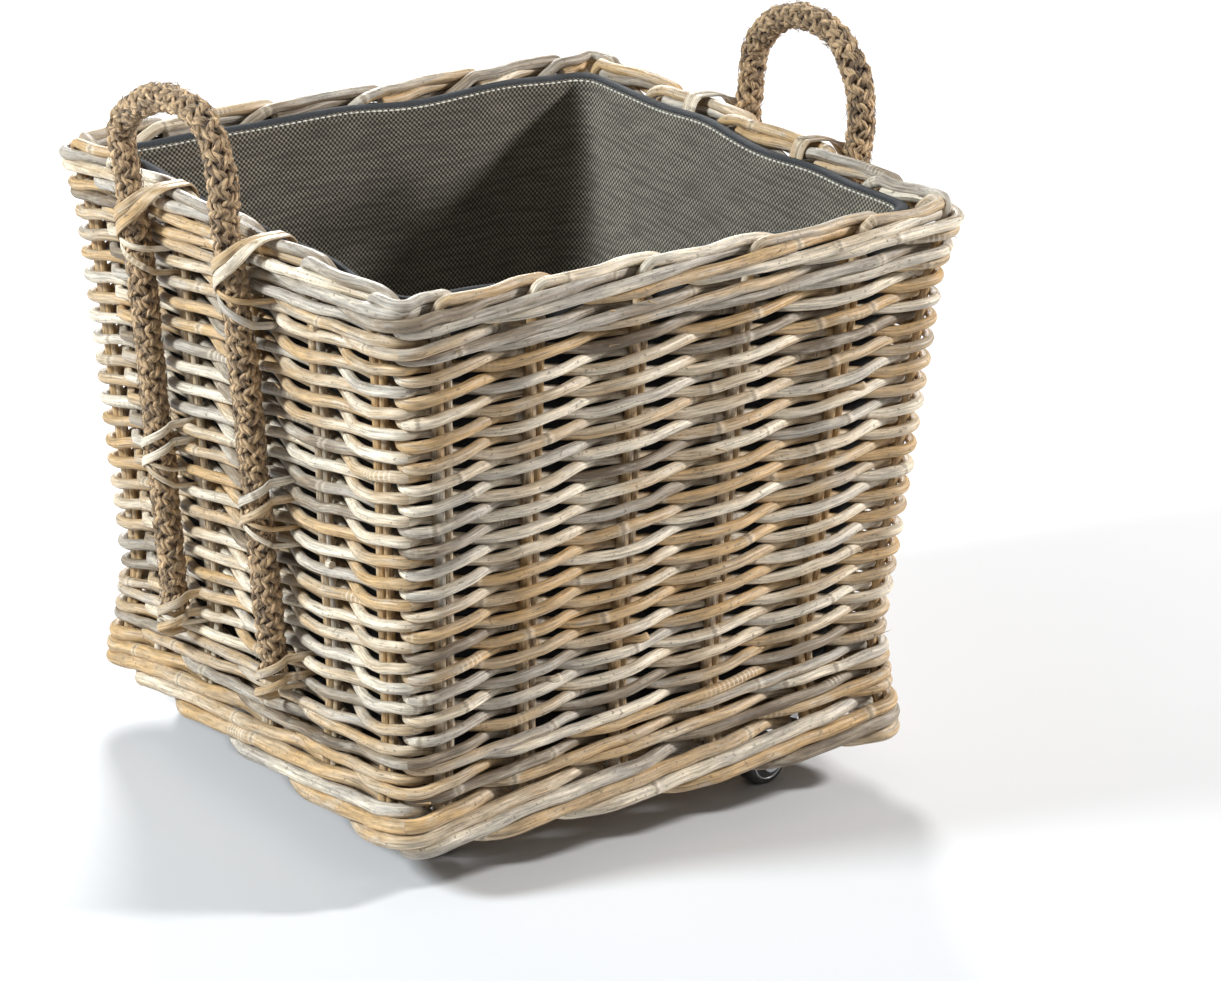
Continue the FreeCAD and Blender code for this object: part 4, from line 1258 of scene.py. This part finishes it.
class BASKET_OT_liner(bpy.types.Operator):
    """Sew the cloth liner with its hem and stitches"""

    bl_idname = "basket.liner"
    bl_label = "Liner"

    # The cloth before it is sewn: side of the floor and of each wall, what the hems take, and area.
    SIDE = 0.37
    HEMS = 0.06
    AREA = 0.80
    # Rows of points on the floor, the walls and the hem's back, and points in a row.
    FLOOR_ROWS = 16
    WALL_ROWS = 46
    HEM_ROWS = 8
    AROUND = 360
    # The fold over the edge, row by row: how far outside the wall and how far above the edge.
    FOLD_OUT = np.array([0.0010, 0.0030, 0.0052, 0.0066])
    FOLD_UP = np.array([0.0010, 0.0022, 0.0024, 0.0010])
    HEM_OUT = 0.0070
    CORNER = 0.020
    # Stitches: distance from one to the next, length and radius.
    STITCH_PITCH = 0.0052
    STITCH_LENGTH = 0.0034
    STITCH_RADIUS = 0.0009

    def execute(self, context):
        piece, edge = self.bag()
        stitches = self.stitches(edge)
        return {"FINISHED"}

    def profile(self):
        """The cloth from the middle of the floor up the wall, over the edge and down behind as a hem:
        half widths, and heights as shares of the way from the floor to the edge."""
        low, top = LINER_LOW + 0.001, LINER_TOP - 0.003
        depth = top - low
        bottom_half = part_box("base_board")[1].x - 0.0145
        top_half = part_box("liner")[1].x - 0.0025
        floor = np.linspace(0.004, bottom_half - 0.01, self.FLOOR_ROWS)
        share = np.linspace(0.02, 1.0, self.WALL_ROWS)
        wall = bottom_half + (top_half - bottom_half) * share
        hem = np.full(self.HEM_ROWS, top_half + self.HEM_OUT)
        hem_rises = np.linspace(1.0 - 0.002 / depth, 1.0 - soft().hem / depth, self.HEM_ROWS)
        halves = np.concatenate([floor, wall, top_half + self.FOLD_OUT, hem])
        rises = np.concatenate([np.zeros(self.FLOOR_ROWS), share, 1.0 + self.FOLD_UP / depth, hem_rises])
        return halves, rises, low, depth, top_half

    def bag(self):
        """The liner: across, a rounded square; along, its profile. Slow waves that grow toward the
        edge pull the walls inward, and the edge rises and falls a little."""
        halves, rises, low, depth, top_half = self.profile()
        around = self.AROUND
        rows = len(halves)
        half = halves[:, None]
        rise = np.clip(rises, 0.0, 1.0)[:, None]
        share = np.broadcast_to(np.arange(around) / around, (rows, around))
        points, facing = square_round(half, np.minimum(self.CORNER, 0.4 * half), share)
        angle = 2.0 * math.pi * share
        waves = (
            0.45 * np.sin(9.0 * angle + 0.6) + 0.35 * np.sin(14.0 * angle + 2.1)
            + 0.25 * np.sin(23.0 * angle + 4.0) + 0.3 * np.sin(5.0 * angle + 1.3 + 2.0 * rise)
        )
        pull = np.maximum(rise * rise * (0.0022 + 0.0018 * waves), 0.0)
        folded = len(self.FOLD_OUT) + self.HEM_ROWS
        pull[-folded:] = pull[-folded - 1:-folded]
        sag = 0.0012 * np.sin(8.0 * angle + 0.4) + 0.0010 * np.sin(13.0 * angle + 1.0) - 0.0010
        z = low + depth * rises[:, None] + np.where(rise > 0.9, sag * (rise - 0.9) / 0.1, 0.0)
        creases = 0.0009 * np.sin(40.0 * points[..., 0]) * np.sin(33.0 * points[..., 1])
        z = z + np.where(rise == 0.0, creases, 0.0)
        grid = np.concatenate([points - pull[..., None] * facing, z[..., None]], -1)
        flat = grid.reshape(-1, 3)
        i, k = np.meshgrid(np.arange(rows - 1), np.arange(around), indexing="ij")
        i, k = i.ravel(), k.ravel()
        here, after, beside = i * around, (i + 1) * around, (k + 1) % around
        quads = np.stack([here + k, after + k, after + beside, here + beside], 1)
        far = np.concatenate([[0.0], np.cumsum(np.hypot(np.diff(halves), depth * np.diff(rises)))])
        u = np.stack([k, k, k + 1, k + 1], 1) / around * (8.0 * top_half)
        v = np.stack([far[i], far[i + 1], far[i + 1], far[i]], 1)
        on_floor = (i < self.FLOOR_ROWS)[:, None, None]
        uvs = np.where(on_floor, flat[quads, :2], np.stack([u, v], 2)).reshape(-1, 2)
        uvs = np.concatenate([uvs, np.zeros((around, 2))])
        edge = self.FLOOR_ROWS + self.WALL_ROWS - 1
        corners = np.concatenate([quads.ravel(), np.arange(around)])
        starts = 4 * np.arange(len(quads) + 1)
        faces = (corners, starts, np.ones(len(starts), bool), np.append(i >= edge, False))
        finishes = (finish(canvas), finish(hem_and_outer_shade_twill))
        piece = placed("liner_cloth", new_mesh("liner_cloth", flat, faces, uvs, finishes))
        wall = piece.modifiers.new("thickness", "SOLIDIFY")
        wall.thickness = soft().cloth_thickness
        wall.offset = 0.0
        # The cloth's outer side takes the dark hem finish, as painted shade seen through the gaps of the
        # weave.
        wall.material_offset = 1
        settle(piece, "cloth", "liner")
        return piece, grid[edge]

    def stitches(self, edge):
        """Short threads in a row along the inside of the edge, one every few millimetres."""
        bundle = Bundle()
        loop = np.vstack([edge, edge[:1]])
        far = distances(loop)
        inward = np.array([-1.0, -1.0, 0.0])
        proud = np.array([[0.0004], [0.0012], [0.0004]])
        below = np.array([0.0, 0.0, 0.0016])
        for start in np.arange(0.0, far[-1] - 0.004, self.STITCH_PITCH):
            path = on_line(start + np.linspace(0.0, self.STITCH_LENGTH, 3), far, loop)
            facing = path[1] * inward / np.linalg.norm(path[1, :2])
            bundle.tube(path + facing * proud - below, facing, self.STITCH_RADIUS, 0.5, 4)
        return settle(bundle.piece("liner_stitches", finish(thread)), "cloth")


class BASKET_OT_ends(bpy.types.Operator):
    """Add the cut ends and frayed fibres that stand out of the weave"""

    bl_idname = "basket.ends"
    bl_label = "Cut ends"

    CUT_ENDS = 12
    CUT_RADIUS = 0.0030
    SLIVERS = 70
    SLIVER_RADIUS = 0.00035
    # Share of a wall, from its middle, that keeps cut ends away from the corners.
    INNER = 0.7

    def execute(self, context):
        s = shape()
        rng = np.random.default_rng(s.seed + 6)
        bundle = Bundle()
        groups = group_places()[GROUP_COUNT:2 * GROUP_COUNT]
        inner = groups[np.abs((groups + 1.0) % 2.0 - 1.0) < self.INNER]
        out = s.stake_radius + 2.0 * s.strand_radius + s.clear
        low, pitch = courses()
        rise = np.linspace(0.0, 1.0, 10)
        outs = -0.002 + (out - 0.002) * np.minimum(1.4 * rise, 1.0)
        for number in range(self.CUT_ENDS):
            place = inner[rng.integers(len(inner))] + rng.uniform(0.06, 0.12)
            z = low + pitch * (rng.integers(s.courses) + 0.25)
            path, facing = wall_points(place + np.linspace(-0.09, 0.0, 10), outs, z + 0.004 * rise)
            bundle.tube(path, facing, self.CUT_RADIUS, rng.uniform(0.3, 0.9), 8, shift=grain(rng))
        woven(bundle, "cut_ends", cut=True)
        self.slivers(rng)
        return {"FINISHED"}

    def slivers(self, rng):
        """Thin pale slivers of bark: tapered strips that lie along a rod and lift at one end."""
        bundle = Bundle()
        share = np.linspace(0.0, 1.0, 5)
        for number in range(self.SLIVERS):
            at_rim = rng.random() < 0.55
            band = (RIM_LOW - 0.016, RIM_TOP - 0.006) if at_rim else (WALE_LOW, SIDING_HIGH)
            z = rng.uniform(*band)
            place = rng.uniform(-1.0, 7.0)
            reach = rng.uniform(0.005, 0.014) / half_run(z)
            at = place + reach * share * rng.choice((-1.0, 1.0))
            outs = 0.0124 + rng.uniform(0.001, 0.005) * share ** 2
            path, facing = wall_points(at, outs, z + rng.normal(0.0, 0.002) * share)
            thick = self.SLIVER_RADIUS * (1.15 - share)
            bundle.tube(path, facing, thick, rng.uniform(0.5, 0.64), 4, flat=2.2)
        settle(bundle.piece("bark_slivers", finish(rattan, "bark_sliver", 0.6, 0.12)), "rattan")


class BASKET_OT_base(bpy.types.Operator):
    """Finish the base board, the castors and their screws"""

    bl_idname = "basket.base"
    bl_label = "Base and castors"

    # The wheels' trim: its radius against the wheel's, its thickness and its points.
    TRIM_SHARE = 0.72
    TRIM_RADIUS = 0.0009
    TRIM_POINTS = 48

    def execute(self, context):
        steel = finish(plated_steel)
        self.paint("base_board", finish(plywood))
        self.paint("castor_screws", steel)
        for castor in CASTORS:
            for kind in ("plate", "fork", "axle"):
                self.paint(castor + "_castor_" + kind, steel)
            self.paint(castor + "_castor_wheel", finish(castor_plastic))
            self.trim(castor, steel)
        return {"FINISHED"}

    def trim(self, castor, steel):
        """Bright trim on both faces of a wheel: a thin closed tube round the axle, set against the
        face. The wheel's width comes from its box along the axis nearest the axle."""
        roll = next(j for j in frame["joints"] if j["child"] == castor + "_wheel")
        axle = np.array(roll["axis"], float)
        axle /= np.linalg.norm(axle)
        centre = np.array(roll["pos_m"], float)
        low, high = (np.array(corner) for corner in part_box(castor + "_castor_wheel"))
        radius = centre[2] - low[2]
        main, other = (0, 1) if abs(axle[0]) > 0.7 else (1, 0)
        wide = ((high - low)[main] - 2.0 * radius * abs(axle[other])) / abs(axle[main])
        turn = 2.0 * math.pi * np.arange(self.TRIM_POINTS) / self.TRIM_POINTS
        across = np.array([axle[1], -axle[0], 0.0])
        spoke = np.cos(turn)[:, None] * across + np.sin(turn)[:, None] * np.array([0.0, 0.0, 1.0])
        bundle = Bundle()
        for face in (-0.5, 0.5):
            path = centre + face * wide * axle + self.TRIM_SHARE * radius * spoke
            bundle.tube(path, spoke, self.TRIM_RADIUS, 0.5, 8, closed=True)
        settle(bundle.piece(castor + "_wheel_trim", steel), "zinc", body=castor + "_wheel")

    def paint(self, node, material):
        """Gives a node of the frame a finish."""
        slots = frame["nodes"][node].data.materials
        slots.clear()
        slots.append(material)


class BASKET_OT_stage(bpy.types.Operator):
    """Lay the floor, set the lights and point the camera"""

    bl_idname = "basket.stage"
    bl_label = "Stage"

    WORLD_STRENGTH = 0.18
    WHITE = (1.0, 1.0, 1.0)
    # Round lamps that look at AIM: name, place, size, power and colour.
    LAMPS = (
        ("key", (-2.9, 0.6, 2.1), 0.8, 172.0, (0.88, 0.95, 1.0)),
        ("rim", (1.5, 3.0, 1.8), 0.9, 100.0, WHITE),
        ("side", (2.7, -1.5, 2.0), 0.45, 138.0, WHITE),
        ("fill", (-0.2, -3.4, 2.2), 1.6, 9.0, WHITE),
    )
    AIM = (0.0, 0.0, 0.25)
    # The camera's place, its azimuth, elevation and roll in degrees, its lens and its sensor.
    EYE = (-1.8557, -2.8654, 1.4764)
    ANGLES = (-34.33, 20.40, 1.28)
    LENS = 141.58
    SENSOR = 36.0

    def execute(self, context):
        self.floor()
        self.lights()
        self.camera()
        return {"FINISHED"}

    def floor(self):
        """A plain pale floor with a faint unevenness of tone."""
        made = Finish("studio_floor")
        dust = made.noise(made.place(), 2.0, 3.0)
        tint = colours().floor
        tint = made.mixed(made.spread(dust, 0.3, 0.7), tint, tuple(0.985 * v for v in tint))
        made.shade(Base_Color=tint, Roughness=0.6)
        mesh = bpy.data.meshes.new("studio_floor")
        mesh.from_pydata([(-9, -9, 0), (9, -9, 0), (9, 14, 0), (-9, 14, 0)], [], [(0, 1, 2, 3)])
        mesh.materials.append(made.material)
        placed("studio_floor", mesh)

    def lights(self):
        """A faint white world and the round lamps."""
        world = bpy.data.worlds.new("studio")
        bpy.context.scene.world = world
        world.use_nodes = True
        background = world.node_tree.nodes["Background"]
        background.inputs["Color"].default_value = rgba(self.WHITE)
        background.inputs["Strength"].default_value = self.WORLD_STRENGTH
        bpy.context.scene.view_settings.view_transform = "Standard"
        for name, place, size, power, tint in self.LAMPS:
            data = bpy.data.lights.new(name, "AREA")
            data.shape = "DISK"
            data.size = size
            data.energy = power
            data.color = tint
            lamp = placed(name, data)
            lamp.location = place
            toward = Vector(self.AIM) - Vector(place)
            lamp.rotation_euler = toward.to_track_quat("-Z", "Y").to_euler()

    def camera(self):
        """A long lens above the corner between the front and left walls, rolled slightly."""
        data = bpy.data.cameras.new("camera")
        data.sensor_width = self.SENSOR
        data.lens = self.LENS
        camera = placed("camera", data)
        azimuth, elevation, roll = (math.radians(angle) for angle in self.ANGLES)
        level = math.cos(elevation)
        back = Vector((math.sin(azimuth) * level, -math.cos(azimuth) * level, math.sin(elevation)))
        right = Vector((math.cos(azimuth), math.sin(azimuth), 0.0))
        up = back.cross(right)
        rolled_right = math.cos(roll) * right + math.sin(roll) * up
        rolled_up = math.cos(roll) * up - math.sin(roll) * right
        turn = Matrix((rolled_right, rolled_up, back)).transposed().to_4x4()
        camera.matrix_world = Matrix.Translation(self.EYE) @ turn
        bpy.context.scene.camera = camera


class BASKET_PT_panel(bpy.types.Panel):
    """The basket's pieces and sizes"""

    bl_idname = "BASKET_PT_panel"
    bl_label = "Log basket"
    bl_space_type = "VIEW_3D"
    bl_region_type = "UI"
    bl_category = "Basket"

    def draw(self, context):
        for group in (context.scene.basket_shape, context.scene.basket_soft, context.scene.basket_colours):
            for name in group.__annotations__:
                self.layout.prop(group, name)
        for operator in OPERATORS:
            self.layout.operator(operator.bl_idname)


OPERATORS = (
    BASKET_OT_stage,
    BASKET_OT_stakes,
    BASKET_OT_siding,
    BASKET_OT_foot,
    BASKET_OT_wales,
    BASKET_OT_rim,
    BASKET_OT_liner,
    BASKET_OT_ropes,
    BASKET_OT_lashings,
    BASKET_OT_ends,
    BASKET_OT_base,
)
CLASSES = (BasketShape, BasketSoft, BasketColours) + OPERATORS + (BASKET_PT_panel,)


def register():
    for cls in CLASSES:
        bpy.utils.register_class(cls)
    bpy.types.Scene.basket_shape = bpy.props.PointerProperty(type=BasketShape)
    bpy.types.Scene.basket_soft = bpy.props.PointerProperty(type=BasketSoft)
    bpy.types.Scene.basket_colours = bpy.props.PointerProperty(type=BasketColours)


def unregister():
    del bpy.types.Scene.basket_colours
    del bpy.types.Scene.basket_soft
    del bpy.types.Scene.basket_shape
    for cls in reversed(CLASSES):
        bpy.utils.unregister_class(cls)


def main():
    register()
    bpy.ops.basket.stage()
    bpy.ops.basket.stakes()
    bpy.ops.basket.siding()
    bpy.ops.basket.foot()
    bpy.ops.basket.wales()
    bpy.ops.basket.rim()
    bpy.ops.basket.liner()
    bpy.ops.basket.ropes()
    bpy.ops.basket.lashings()
    bpy.ops.basket.ends()
    bpy.ops.basket.base()
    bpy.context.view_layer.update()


if __name__ == "__main__":
    main()
